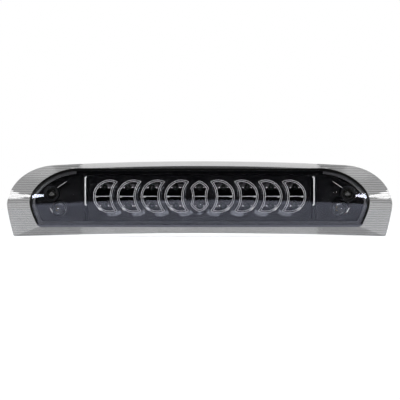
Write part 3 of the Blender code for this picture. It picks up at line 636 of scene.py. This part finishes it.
def middle_cup(rim, cut_radius):
    apart = 2 * CUP_SHIFT + CUP_PITCH
    crossing = (rim**2 - cut_radius**2 + apart**2) / (2 * apart)
    corner, apex = acos(crossing / rim), acos(CUP_SHIFT / rim)
    cut_corner = acos((crossing - apart) / cut_radius)
    half = arc(-CUP_SHIFT, rim, -apex, -corner, 20)
    half += arc(CUP_SHIFT + CUP_PITCH, cut_radius, tau - cut_corner, cut_corner, 32)
    half += arc(-CUP_SHIFT, rim, corner, apex, 20)
    return half + [Vector((-p.x, -p.y)) for p in half]


def cup_outline(number, grow):
    rim, cut_radius = CUP_RADIUS + grow, CUP_CUT_RADIUS - grow
    outline = middle_cup(rim, cut_radius) if number == 0 else side_cup(rim, cut_radius)
    side = -1 if number > 0 else 1
    return [Vector((side * p.x + number * CUP_PITCH, p.y + CUP_Z)) for p in outline]


def bowl_y(x, z, number):
    """Floor of a cup: the deeper of two ellipsoids, one about each LED."""
    deepest = COLLAR_FRONT
    for row in (1, -1):
        across = (x - number * CUP_PITCH) / BOWL_RADII[0]
        up = (z - CUP_Z - row * LED_HALF_PITCH) / BOWL_RADII[2]
        left = 1 - across**2 - up**2
        if left > 0:
            deepest = max(deepest, BOWL_Y + BOWL_RADII[1] * sqrt(left))
    return deepest


def build_reflector():
    corner, chamfer = 2, 0.4
    plate = rounded_box(REFLECTOR_HALF_WIDTH, REFLECTOR_TOP, REFLECTOR_BOTTOM, corner, 8)
    inner = rounded_box(REFLECTOR_HALF_WIDTH - chamfer, REFLECTOR_TOP - chamfer, REFLECTOR_BOTTOM + chamfer,
                        corner - chamfer, 8)
    mesh = bmesh.new()
    rows = skin(mesh, [flat_ring(inner, REFLECTOR_FRONT), flat_ring(plate, REFLECTOR_FRONT + chamfer),
                       flat_ring(plate, REFLECTOR_REAR)])
    mesh.faces.new(rows[-1])
    loops = [rows[0]] + [build_cup(mesh, number) for number in CUP_NUMBERS]
    edges = [mesh.edges.get(pair) for loop in loops for pair in zip(loop, loop[1:] + loop[:1])]
    bmesh.ops.triangle_fill(mesh, use_beauty=True, use_dissolve=False, edges=edges)
    made = piece("cup_reflector", mesh, "gloss rim chrome", "led_reflector", angle=35)
    tools = bmesh.new()
    for place in led_places():
        rod(LED_HOLE, COLLAR_FRONT, REFLECTOR_REAR + 1, 32, place, tools)
    cut(made, tools)
    sharpen(made, 35)


def build_cup(mesh, number):
    """Raised round-edged collar, and the double bowl inside it. Returns the loop where it meets the plate."""
    side = -1 if number > 0 else 1
    hub = Vector((number * CUP_PITCH + (0 if number == 0 else side * -0.3), CUP_Z))
    half = BEAD / 2
    top = COLLAR_FRONT + half
    profile, slots = [(COLLAR, REFLECTOR_FRONT)], []
    # The beads take the near-white rim finish, painted highlights; the flat between them is glossy black.
    for middle in (COLLAR - half, half):
        for step in range(7):
            turn = pi * step / 6
            profile.append((middle + half * cos(turn), top - half * sin(turn)))
            slots.append(1 if step else 0)
    rings = [flat_ring(cup_outline(number, grow), y) for grow, y in profile]
    edge = cup_outline(number, 0)
    rings.append([Vector((p.x, max(bowl_y(p.x, p.y, number), top + 0.1), p.y)) for p in edge])
    slots.append(2)
    steps = 22
    for step in range(1, steps):
        share = 1 - step / steps
        ring = []
        for p in edge:
            q = hub.lerp(p, share)
            ring.append(Vector((q.x, max(bowl_y(q.x, q.y, number), top), q.y)))
        rings.append(ring)
        slots.append(2)
    rows = skin(mesh, rings, slots=slots)
    centre = mesh.verts.new((hub.x, bowl_y(hub.x, hub.y, number), hub.y))
    last = rows[-1]
    for a, b in zip(last, last[1:] + last[:1]):
        mesh.faces.new((a, b, centre)).material_index = 2
    return rows[0]


def heading(path, i):
    return (path[min(i + 1, len(path) - 1)] - path[max(i - 1, 0)]).normalized()


def tube(mesh, path, radii, slot, segments=10):
    """A round bar along a path."""
    rings = []
    for i, (point, radius) in enumerate(zip(path, radii)):
        along = heading(path, i)
        across = along.cross(Vector((0, 1, 0))).normalized()
        third = along.cross(across)
        turns = (tau * k / segments for k in range(segments))
        rings.append([point + (across * cos(t) + third * sin(t)) * radius for t in turns])
    capped(mesh, rings, slot, slot)


def domed(count, radius, swell=1.0):
    """Radii along a bar that close to a point at both ends and may swell at the first."""
    made = []
    for i in range(count):
        from_end = min(i, count - 1 - i)
        ease = sin(min(1.0, (from_end + 0.25) / 2.5) * pi / 2)
        fat = 1 + (swell - 1) * max(0.0, 1 - i / (count * 0.25))
        made.append(radius * ease * fat)
    return made


def pip(mesh, x, z, y, radius):
    """A small domed boss that stands on a surface at depth y."""
    turns = (radians(88) * step / 5 for step in range(6))
    dome = [(radius * cos(t), y - radius * sin(t)) for t in turns]
    lathe([(radius, y + 0.4)] + dome, 14, (x, z), mesh=mesh)


def arc_bar(mesh, side, centre, radius, depth, angles, radii, slot, segments=10):
    """A bar along an arc at the height of the cups' centres, mirrored with the side."""
    path = []
    for i in range(len(radii)):
        turn = radians(angles[0] + (angles[1] - angles[0]) * i / (len(radii) - 1))
        path.append(Vector((centre + side * radius * cos(turn), depth, CUP_Z + radius * sin(turn))))
    tube(mesh, path, radii, slot, segments)


def build_cup_details():
    """Bars along each cup's ridge and collar, sloped ledges below the cups, and small domed bosses. The ridge
    bars and bosses are near-white and the short collar and bowl bars white, as painted highlights; the ledges
    and gap bars take the lighter chrome, also painted highlights.
    """
    mesh = bmesh.new()
    # Slot 0 is the near-white rim finish and slot 2 the white one; both paint highlights.
    bright, bar = 0, 2
    for number in CUP_NUMBERS:
        side, middle = (-1 if number > 0 else 1), number * CUP_PITCH
        first, last = (-10.2 if number else -5.9), 5.9
        ridge = []
        for i in range(40):
            x = middle + (first + (last - first) * i / 39) * side
            ridge.append(Vector((x, bowl_y(x, CUP_Z, number) - 0.12, CUP_Z)))
        tube(mesh, ridge, domed(40, 0.34, 2.2 if number else 1.0), bright)
        for row in (1, -1):
            for across in (-4.7, 4.7):
                x, z = middle + across, CUP_Z + row * LED_HALF_PITCH
                pip(mesh, x, z - 0.3, bowl_y(x, z, number), 0.5)
        if number:
            centre = middle + side * CUP_SHIFT
            swelling = [1.2 * sin(pi * (i + 0.6) / 12.2) for i in range(12)]
            rim = CUP_RADIUS + COLLAR - 0.5
            arc_bar(mesh, side, centre, rim, COLLAR_FRONT - 0.2, (222, 244), swelling, bar)
            outer = middle - side * 8.6
            depth = bowl_y(outer, CUP_Z, number) - 1.2
            mark = [Vector((outer + side * (i * 0.5 - 1.2), depth, CUP_Z - 0.5 - 0.12 * (6 - i)))
                    for i in range(7)]
            tube(mesh, mark, domed(7, 0.55), bar)
            beyond = centre + side * CUP_PITCH
            arc_bar(mesh, side, beyond, GAP_ARC_RADIUS, REFLECTOR_FRONT, (136, 224), domed(40, 0.24), LEDGE, 8)
        ledge(mesh, number, side, middle)
    piece("cup_trim", mesh, "rim ledge baffle", angle=40)


def ledge(mesh, number, side, middle):
    """A crescent below a cup whose face leans down, from the collar to a second arc lower down, in the lighter
    chrome that paints a highlight.
    """
    centre = Vector((middle + side * CUP_SHIFT, CUP_Z)) if number else Vector((middle, CUP_Z + 0.6))
    shift = Vector((side * 2.0, -4.2)) if number else Vector((0, -3))
    start, end = (243, 307) if number else (250, 290)
    rim, back, count = CUP_RADIUS + COLLAR, REFLECTOR_FRONT + 0.3, 30
    sections = []
    for i in range(count):
        share = i / (count - 1)
        turn = radians(start + (end - start) * share)
        top = centre + Vector((side * rim * cos(turn), rim * sin(turn)))
        grown = min(1.0, i / 9) if number else sin(pi * share) ** 0.6
        low = top + shift * max(grown, 0.04)
        sections.append(((top.x, REFLECTOR_FRONT - 1.35, top.y), (low.x, REFLECTOR_FRONT - 0.15, low.y),
                         (low.x, back, low.y), (top.x, back, top.y)))
    capped(mesh, sections, LEDGE, LEDGE)


def led_places():
    for index in range(CUPS):
        for row in (1, -1):
            yield (index - CUPS // 2) * CUP_PITCH, CUP_Z + row * LED_HALF_PITCH


def rounded_box(half_width, top, bottom, radius, steps=6):
    centres = (
        (half_width - radius, top - radius),
        (half_width - radius, bottom + radius),
        (radius - half_width, bottom + radius),
        (radius - half_width, top - radius),
    )
    points = []
    for quarter, (x, z) in enumerate(centres):
        for i in range(steps + 1):
            turn = radians(90) * (quarter + i / steps)
            points.append(Vector((x + radius * sin(turn), z + radius * cos(turn))))
    return points


def build_leds():
    for number, place in enumerate(led_places(), 1):
        low, high = cad_box(f"led_{number:02d}")
        tip, rear = low.y, high.y
        profile = [(LED_FLANGE_RADIUS, rear), (LED_FLANGE_RADIUS, rear - 1), (LED_RADIUS, rear - 1.3),
                   (LED_RADIUS, tip + LED_RADIUS)]
        for step in range(1, 9):
            turn = radians(88) * step / 8
            profile.append((LED_RADIUS * cos(turn), tip + LED_RADIUS * (1 - sin(turn))))
        mesh = lathe(profile, 32, place)
        inside = tip + 4.2
        cup = ((1.5, inside), (1.55, inside + 1.6), (0.5, inside + 1.7), (0.8, inside + 0.3))
        lathe(cup, 20, place, closed=True, mesh=mesh, slots=1)
        piece(f"led_lamp_{number:02d}", mesh, "epoxy dark_steel", f"led_{number:02d}", angle=40)


# Ends: dividers, screws, cargo lamps
def build_dividers():
    """A dark upright wall with a rounded crest whose ends curl towards the cups; the crest is white, a painted
    highlight, and covers only part of the wall's height.
    """
    bottom, top, curl, bevel = -5.9, 26.3, 1.7, 0.4
    quarter = [pi / 2 * i / 6 for i in range(7)]
    for side, name in SIDES:
        low, high = cad_box(f"divider_{name}")
        middle, half = (low.x + high.x) / 2, (high.x - low.x) / 2
        crest_rear = low.y + 3.6
        outline = [(-half, high.y), (-half, crest_rear + bevel), (bevel - half, crest_rear),
                   (half - bevel, crest_rear), (half, crest_rear + bevel), (half, high.y)]
        levels = [low.z + (high.z - low.z) * i / 8 for i in range(9)]
        mesh = capped(bmesh.new(), [[(middle + x, y, z) for x, y in outline] for z in levels])
        path = [Vector((middle - side * curl * (1 - sin(t)), 0, bottom + curl * (1 - cos(t)))) for t in quarter]
        straight = top - bottom - 2 * curl
        path += [Vector((middle, 0, bottom + curl + straight * i / 12)) for i in range(1, 12)]
        path += [Vector((middle - side * curl * (1 - cos(t)), 0, top - curl * (1 - sin(t)))) for t in quarter]
        edge = [(half, crest_rear + 0.6), (half, low.y + 0.7), (half * 0.8, low.y + 0.22), (half * 0.4, low.y)]
        edge = [(-x, y) for x, y in edge] + edge[::-1]
        sections = []
        for i, point in enumerate(path):
            along = heading(path, i)
            sections.append([(point.x + along.z * x, y, point.z - along.x * x) for x, y in edge])
        capped(mesh, sections, 1, 1)
        piece(f"divider_wall_{name}", mesh, "gloss baffle", f"divider_{name}", angle=40)


def build_screws():
    """Screws with a pan head, a cross slot and a thread, and their washers."""
    shank, pitch = 2.5, 1.6
    for _, name in SIDES:
        low, high = cad_box(f"mounting_screw_{name}")
        x, z, head = (low.x + high.x) / 2, (low.z + high.z) / 2, (high.x - low.x) / 2
        profile = [(0.4, low.y), (head * 0.5, low.y + 0.12), (head * 0.82, low.y + 0.7),
                   (head, low.y + 1.9), (head, low.y + 3.4), (shank, low.y + 3.4)]
        y = low.y + 8
        while y < high.y - 3:
            thread = ((1, 0), (0.8, 0.3), (0.8, 0.5), (1, 0.85))
            profile += [(shank * out, y + pitch * along) for out, along in thread]
            y += pitch
        profile += [(shank * 0.85, high.y - 2.4), (1.2, high.y)]
        made = piece(f"pan_screw_{name}", lathe(rounded(profile, 0.3), 48, (x, z)), "dark_steel",
                     f"mounting_screw_{name}", f"screw_{name}", 35)
        for turn in (0, 90):
            slot = bmesh.new()
            block(slot, (x, low.y, z), (4.6, 3.4, 1.0), turn)
            cut(made, slot)
        sharpen(made, 35)
        low, high = cad_box(f"screw_washer_{name}")
        radius, hole = (high.x - low.x) / 2, 2.8
        section = ((hole, low.y), (radius - 0.4, low.y), (radius, low.y + 0.4), (radius, high.y - 0.2),
                   (radius - 0.2, high.y), (hole, high.y))
        piece(f"seal_washer_{name}", lathe(section, 40, (x, z), closed=True), "rubber",
              f"screw_washer_{name}", f"screw_travel_{name}")


def build_cargo_reflectors():
    """The dark tray behind each end of the lens, with a bezel round its bulb in the lighter chrome and a white
    bar beside it, both painted highlights, and the screw's tunnel.
    """
    halves = face_half(6.7), face_half(8.3)
    kept = [i for i, point in enumerate(halves[0]) if point.x > 135.8]
    outlines = []
    for half, edge in zip(halves, (132.6, 134.2)):
        end = [half[i] for i in kept]
        outlines.append(end + [Vector((edge, end[-1].y)), Vector((edge, end[0].y))])
    outer, inner = outlines
    floor, front, rear = -10, -17, -8.2
    for side, name in SIDES:
        screw, bulb = (side * SCREW_X, SCREW_Z), (side * BULB_X, BULB_Z)
        levels = ((inner, floor), (inner, front), (outer, front), (outer, rear))
        mesh = capped(bmesh.new(), [[(side * p.x, y, p.y) for p in outline] for outline, y in levels])
        made = piece(f"cargo_tray_{name}", mesh, "gloss", f"cargo_reflector_{name}")
        tools = rod(9.2, front - 1, rear + 1.2, 48, screw)
        rod(8.6, front - 1, rear + 1.2, 48, bulb, tools)
        cut(made, tools)
        sharpen(made, 30)
        # The bezel ring takes the lighter chrome and the bar beside it the white finish: painted highlights.
        bezel = ((9.4, 0.1), (9.4, 1.0), (9.9, 1.4), (10.4, 1.0), (10.4, 0.1))
        mesh = lathe([(radius, floor - height) for radius, height in bezel], 64, bulb, closed=True)
        painted_glint = Vector((side * 170.7, -11.5, -8.9)), Vector((side * 167.3, -11.5, -14.6))
        tube(mesh, [painted_glint[0].lerp(painted_glint[1], i / 4) for i in range(5)], (0.3, 0.6, 0.75, 0.6, 0.3), 1)
        piece(f"bulb_bezel_{name}", mesh, "ledge baffle", angle=50)
        mouth, hole = face_y(SCREW_X, SCREW_Z) + 0.2, 3
        section = ((hole, -5.8), (8.7, -5.8), (8.7, mouth + 0.5), (8.3, mouth), (7.9, mouth),
                   (7.5, mouth + 0.5), (7.5, -8.3), (hole, -8.3))
        piece(f"tunnel_sleeve_{name}", lathe(section, 64, screw, closed=True), "gloss",
              f"screw_sleeve_{name}")


def build_tray_ribs():
    """A thin rib beside each screw tunnel, with a rounded crest coloured white as a painted highlight."""
    foot, crest = Vector((0, -9.9, 0)), Vector((0, -19, 0))
    for side, name in SIDES:
        start, end = Vector((side * 162.4, 0, 13.9)), Vector((side * 151.4, 0, 21.3))
        across = (end - start).normalized().cross(Vector((0, 1, 0))) * 0.3
        corners = (start - across, start + across, end + across, end - across)
        mesh = capped(bmesh.new(), [[corner + level for corner in corners] for level in (foot, crest)])
        radii = [0.2] + [0.32] * 5 + [0.27, 0.2, 0.12]
        tube(mesh, [start.lerp(end, i / 8) + crest for i in range(9)], radii, 1)
        piece(f"tray_rib_{name}", mesh, "gloss baffle", angle=40)


def build_bulbs():
    """Wedge-base bulbs with two support wires and a coiled filament, in their sockets."""
    profile = ((0.05, 0), (1.2, 0.25), (2.6, 0.8), (4.2, 1.7), (5.8, 2.9), (6.9, 4.6), (7.5, 7), (7.6, 10),
               (7.6, 15), (7.2, 17.2), (6.2, 18.8), (4.6, 20.2))
    for side, name in SIDES:
        body, at = f"bulb_socket_{name}", (side * BULB_X, BULB_Z)
        low, high = cad_box(f"cargo_bulb_{name}")
        tip, base = low.y, low.y + 18.6
        mesh = lathe([(radius, tip + depth) for radius, depth in profile], 40, at)
        corners = block(mesh, (at[0], (base + high.y) / 2, at[1]), (9.6, high.y - base, 2.4))
        edges = list(dict.fromkeys(edge for corner in corners for edge in corner.link_edges))
        bmesh.ops.bevel(mesh, geom=edges, offset=0.5, segments=2, affect="EDGES")
        for across in (-1.6, 1.6):
            wire = [Vector((at[0] + across, tip + depth, at[1])) for depth in (20.5, 17, 13.5, 10.6, 9.2)]
            tube(mesh, wire, domed(5, 0.25), 1, 8)
        coil = []
        for i in range(90):
            turn = tau * 7 * i / 89
            x = at[0] - 1.5 + 3.0 * i / 89
            coil.append(Vector((x, tip + 9.0 + 0.4 * cos(turn), at[1] + 0.4 * sin(turn))))
        tube(mesh, coil, [0.09] * 90, 1, 6)
        piece(f"wedge_bulb_{name}", mesh, "glass steel", f"cargo_bulb_{name}", body, 40)
        build_holder(name, body, at)


def build_holder(name, body, at):
    """A socket: turned nose and flange, lugs, a grooved finger grip, a pocket for the bulb, and its seal."""
    low, high = cad_box(f"bulb_holder_{name}")
    nose, flange, front, rear = 8.1, 11.6, 21.6, 24
    profile = [(5.6, low.y), (nose - 0.5, low.y), (nose, low.y + 0.5), (nose, front), (flange - 0.4, front),
               (flange, front + 0.4), (flange, rear - 0.5), (flange - 0.5, rear), (2, rear)]
    made = piece(f"twist_holder_{name}", lathe(profile, 64, at), "nylon", f"bulb_holder_{name}",
                 body, 35)
    lugs = bmesh.new()
    block(lugs, (at[0], 16.3, at[1]), (20.4, 2.2, 4.4))
    bmesh.ops.bevel(lugs, geom=lugs.edges[:], offset=0.4, segments=2, affect="EDGES")
    cut(made, lugs, "UNION")
    rings = []
    for y, half, wide in ((23, 9.5, 3.5), (31.8, 9.3, 3.3), (32.6, 8.9, 2.9), (high.y, 8.1, 2.1)):
        outline = rounded_box(half, wide, -wide, min(1.4, wide * 0.6), 5)
        rings.append(flat_ring([point + Vector(at) for point in outline], y))
    cut(made, capped(bmesh.new(), rings), "UNION")
    grooves = bmesh.new()
    for i in range(5):
        for wide in (-3.5, 3.5):
            block(grooves, (at[0] + (i - 2) * 3.2, 29, at[1] + wide), (1.1, 6.4, 1.0))
    cut(made, grooves)
    pocket, start, end = bmesh.new(), low.y - 1, 16.5
    block(pocket, (at[0], (start + end) / 2, at[1]), (10.8, end - start, 6.8))
    cut(made, pocket)
    sharpen(made, 35)
    low, high = cad_box(f"holder_seal_{name}")
    section = ((8.9, low.y), (11.2, low.y), (11.6, (low.y + high.y) / 2), (11.2, high.y), (8.9, high.y))
    piece(f"socket_seal_{name}", lathe(section, 64, at, closed=True), "seal",
          f"holder_seal_{name}", body, 50)


def build_grommet():
    low, high = cad_box("wire_grommet")
    bore, flange, neck, front, rear = 3.6, 9.5, 6.7, 17.5, 20.3
    section = ((bore, low.y), (flange - 0.4, low.y), (flange, low.y + 0.4), (flange, front), (neck, front),
               (neck, rear), (flange, rear), (9.2, 22.1), (8.5, 22.6), (6, 23.2), (5.4, 24.3), (5.6, 24.8),
               (5.2, high.y), (bore, high.y))
    piece("harness_grommet", lathe(section, 64, closed=True), "rubber", "wire_grommet",
          angle=40)


# Housing
def top_edge_outline():
    """The raised top edge of the back plate, which follows the lip's crown."""
    reach, foot = 131, 28.2
    line = [reach * step / 24 for step in range(-24, 25)]
    edge = [Vector((x, LIP_TOP - x * x / (2 * LIP_CROWN) - 5.4)) for x in line]
    return edge + [Vector((reach, foot)), Vector((-reach, foot))]


def prism(outline, front, rear):
    return capped(bmesh.new(), [flat_ring(outline, front), flat_ring(outline, rear)])


def build_housing():
    """Tray, back plate and can, open for the board, the sockets, the screws and the harness."""
    plate_front, plate_rear, can_rear, wall = -5.5, -3.0, 20, 2.2
    outside, inside, plate = (whole(face_half(inset)) for inset in (3.3, 6.3, 0.3))
    rim = LENS_WALL + 0.5
    mesh = capped(bmesh.new(), [
        flat_ring(inside, plate_front),
        face_ring(inside, rim),
        face_ring(whole(face_half(5.8)), rim),
        face_ring(whole(face_half(4.2)), rim + 0.35),
        face_ring(outside, rim + FACE_FILLET),
        flat_ring(outside, plate_front),
        flat_ring(plate, plate_front),
        flat_ring(plate, plate_rear),
    ], [0, 1, 1, 1, 0, 0, 0])
    # Painted shade: the rim's top middle takes the glossy black, so no lit strip shows there.
    for polygon in mesh.faces:
        middle = polygon.calc_center_median()
        if middle.z > 0 and abs(middle.x) < 140 and middle.y < plate_front - 1:
            polygon.material_index = 2
    made = piece("rear_housing", mesh, "housing rim_strip gloss", "housing")
    cut(made, prism(top_edge_outline(), plate_front + 0.2, plate_rear - 0.2), "UNION")
    sunk, chamfer, chamfered = plate_rear - 0.8, 0.8, can_rear - 0.8
    half, top, bottom, corner, port = 150, 22, -20, 6, 13
    can = rounded_box(half, top, bottom, corner, 8)
    can_end = rounded_box(half - chamfer, top - chamfer, bottom + chamfer, corner - chamfer, 8)
    rings = [flat_ring(can, sunk), flat_ring(can, chamfered), flat_ring(can_end, can_rear)]
    cut(made, capped(bmesh.new(), rings), "UNION")
    for side, _ in SIDES:
        at, screw = (side * BULB_X, BULB_Z), (side * SCREW_X, SCREW_Z)
        cut(made, lathe(((port, sunk), (port, chamfered), (port - chamfer, can_rear)), 64, at), "UNION")
        cut(made, rod(7.5, sunk, 0, 48, screw), "UNION")
    hollow = rounded_box(half - wall, top - wall, bottom + wall, corner - wall, 8)
    ahead, inner_rear, beyond = plate_front - 1, can_rear - wall, can_rear + 1
    cut(made, prism(hollow, ahead, inner_rear))
    tools = rod(7, inner_rear - 1, beyond, 40)
    for x in (-106, 106):
        for z in (23.8, -21.2):
            rod(1.75, ahead, plate_rear + 1, 20, (x, z), tools)
    cut(made, tools)
    for side, _ in SIDES:
        at, screw = (side * BULB_X, BULB_Z), (side * SCREW_X, SCREW_Z)
        cut(made, rod(port - wall, ahead, inner_rear, 48, at))
        cut(made, rod(8.5, inner_rear - 1, beyond, 48, at))
        notch = bmesh.new()
        block(notch, (at[0], can_rear - 1, at[1]), (21.4, 4.4, 5.4), 45)
        cut(made, notch)
        cut(made, rod(3, ahead, 1, 32, screw))
    sharpen(made, 28)


# Carried-over CAD nodes, by the start of their names
CAD_FINISHES = {
    "gasket": "foam",
    "led_board": "board",
    "rectifier_diode": "diode",
    "bulb_contact_": "brass",
    "board_screw_": "steel",
    "resistor_": "resistor",
}


def finish_cad_nodes():
    for name, node in frame["nodes"].items():
        for start, finish in CAD_FINISHES.items():
            if name.startswith(start):
                node.data.materials.clear()
                node.data.materials.append(MATERIALS[finish])


# Studio, in metres
def build_floor():
    mesh = bmesh.new()
    turns = [tau * i / 96 for i in range(96)]
    rows = [[mesh.verts.new((radius * cos(t), radius * sin(t), 0)) for t in turns]
            for radius in (0.02, 0.5, 1.2, 3, 8, 18)]
    for row, following in zip(rows, rows[1:]):
        for i in range(96):
            j = (i + 1) % 96
            mesh.faces.new((row[i], following[i], following[j], row[j]))
    mesh.faces.new(rows[0])
    data = bpy.data.meshes.new("studio_floor")
    mesh.to_mesh(data)
    mesh.free()
    floor = bpy.data.objects.new("studio_floor", data)
    floor.location.z = CAD_LOW.z - 0.2 * MM
    bpy.context.scene.collection.objects.link(floor)
    data.materials.append(MATERIALS["floor"])


class Sky(Nodes):
    """The room's light, worked out from the direction."""

    def __init__(self):
        world = bpy.data.worlds.new("studio_room")
        bpy.context.scene.world = world
        super().__init__(world, "OutputWorld")
        way = self.node("TexCoord").outputs["Generated"]
        self.x, self.y, self.z = self.node("SeparateXYZ", {0: way}).outputs

    def step(self, value, low, high):
        limits = {"From Min": low, "From Max": high}
        made = self.node("MapRange", {"Value": value}, limits, interpolation_type="SMOOTHSTEP")
        return made.outputs["Result"]

    def fade(self, value, low, high):
        return self.math("SUBTRACT", 1, self.step(value, low, high))

    def times(self, a, b):
        return self.math("MULTIPLY", a, b)

    def line(self, base, slope, along):
        """A height that starts at so many degrees and changes along a turn."""
        return self.math("ADD", radians(base), self.times(along, slope))

    def within(self, value, low, high):
        return self.times(self.math("GREATER_THAN", value, low), self.math("LESS_THAN", value, high))

    def done(self, light, camera_light):
        seen = self.node("LightPath").outputs["Is Camera Ray"]
        mix = self.node("Mix", {"Factor": seen, "A": light}, {"B": camera_light}).outputs["Result"]
        self.finish(self.node("Background", {"Strength": mix}, {"Color": (1, 1, 1, 1)}))


def build_room():
    """A pale ceiling and rear wall, a dark end behind the camera, and a low board and tall panel each side."""
    ceiling_light, wall_light, low_wall_light, board_light, panel_light, dark = 1.3, 0.12, 0.8, 32, 14, 0.002
    sky = Sky()
    rising = sky.math("ARCSINE", sky.z)
    turned = sky.math("ARCTAN2", sky.math("ABSOLUTE", sky.x), sky.times(sky.y, -1))
    ceiling = sky.times(sky.step(rising, radians(46), radians(58)), ceiling_light)
    low_wall = sky.fade(sky.math("ABSOLUTE", rising), radians(16), radians(26))
    wall = sky.math("ADD", sky.times(low_wall, low_wall_light), wall_light)
    rear = sky.times(sky.step(sky.y, 0.0, 0.3), wall)
    side = sky.times(sky.step(turned, radians(10), radians(10.3)), sky.fade(turned, radians(36), radians(42)))
    past = sky.math("MINIMUM", sky.math("SUBTRACT", turned, radians(10.1)), radians(2))
    board = sky.times(sky.within(rising, sky.line(5.5, -0.9, past), sky.line(5.5, 1.1, past)), side)
    off = sky.math("SUBTRACT", turned, radians(66.5))
    panel = sky.within(rising, sky.line(12.5, 0.195, off), sky.line(24.6, -0.117, off))
    panel = sky.times(panel, sky.within(turned, radians(58), radians(96)))
    bright = sky.math("ADD", sky.times(board, board_light), sky.times(panel, panel_light))
    light = sky.math("MAXIMUM", sky.math("MAXIMUM", ceiling, rear), bright)
    sky.done(sky.math("MAXIMUM", light, dark), 1.0)


def add_light(name, kind, energy, way):
    data = bpy.data.lights.new(name, kind)
    data.energy = energy
    made = bpy.data.objects.new(name, data)
    made.rotation_mode = "QUATERNION"
    made.rotation_quaternion = way.to_track_quat("-Z", "Y")
    bpy.context.scene.collection.objects.link(made)
    return made


def build_lights():
    """A key on each side of the camera, and a soft sun from above and in front."""
    for side, name in SIDES:
        place = Vector((side * 1.3, -1.6, 0.45))
        key = add_light(f"key_{name}", "AREA", 50, -place)
        key.data.size = 0.45
        key.location = place
        key.visible_camera = False
    sun = add_light("soft_sun", "SUN", 1.1, Vector((0, 0.55, -1)))
    sun.data.angle = radians(24)


def build_camera():
    data = bpy.data.cameras.new("view")
    data.sensor_width = SENSOR
    data.lens = SENSOR * CAMERA_DISTANCE / VIEW_WIDTH
    data.clip_start, data.clip_end = 0.1, 60
    camera = bpy.data.objects.new("view", data)
    camera.location = Vector((CAMERA_X, LIP_FRONT - CAMERA_DISTANCE, 0)) * MM
    camera.rotation_euler = (radians(90), 0, 0)
    bpy.context.scene.collection.objects.link(camera)
    bpy.context.scene.camera = camera


for old in list(bpy.data.objects):
    if old.type in ("CAMERA", "LIGHT") or old.name == "Cube":
        bpy.data.objects.remove(old)
MATERIALS = make_materials()
build_camera()
build_floor()
build_room()
build_lights()
build_lens()
build_reflector()
build_cup_details()
build_leds()
build_dividers()
build_screws()
build_cargo_reflectors()
build_tray_ribs()
build_bulbs()
build_grommet()
build_housing()
finish_cad_nodes()
bpy.context.scene.view_settings.view_transform = "Standard"
bpy.context.scene.view_settings.look = "None"
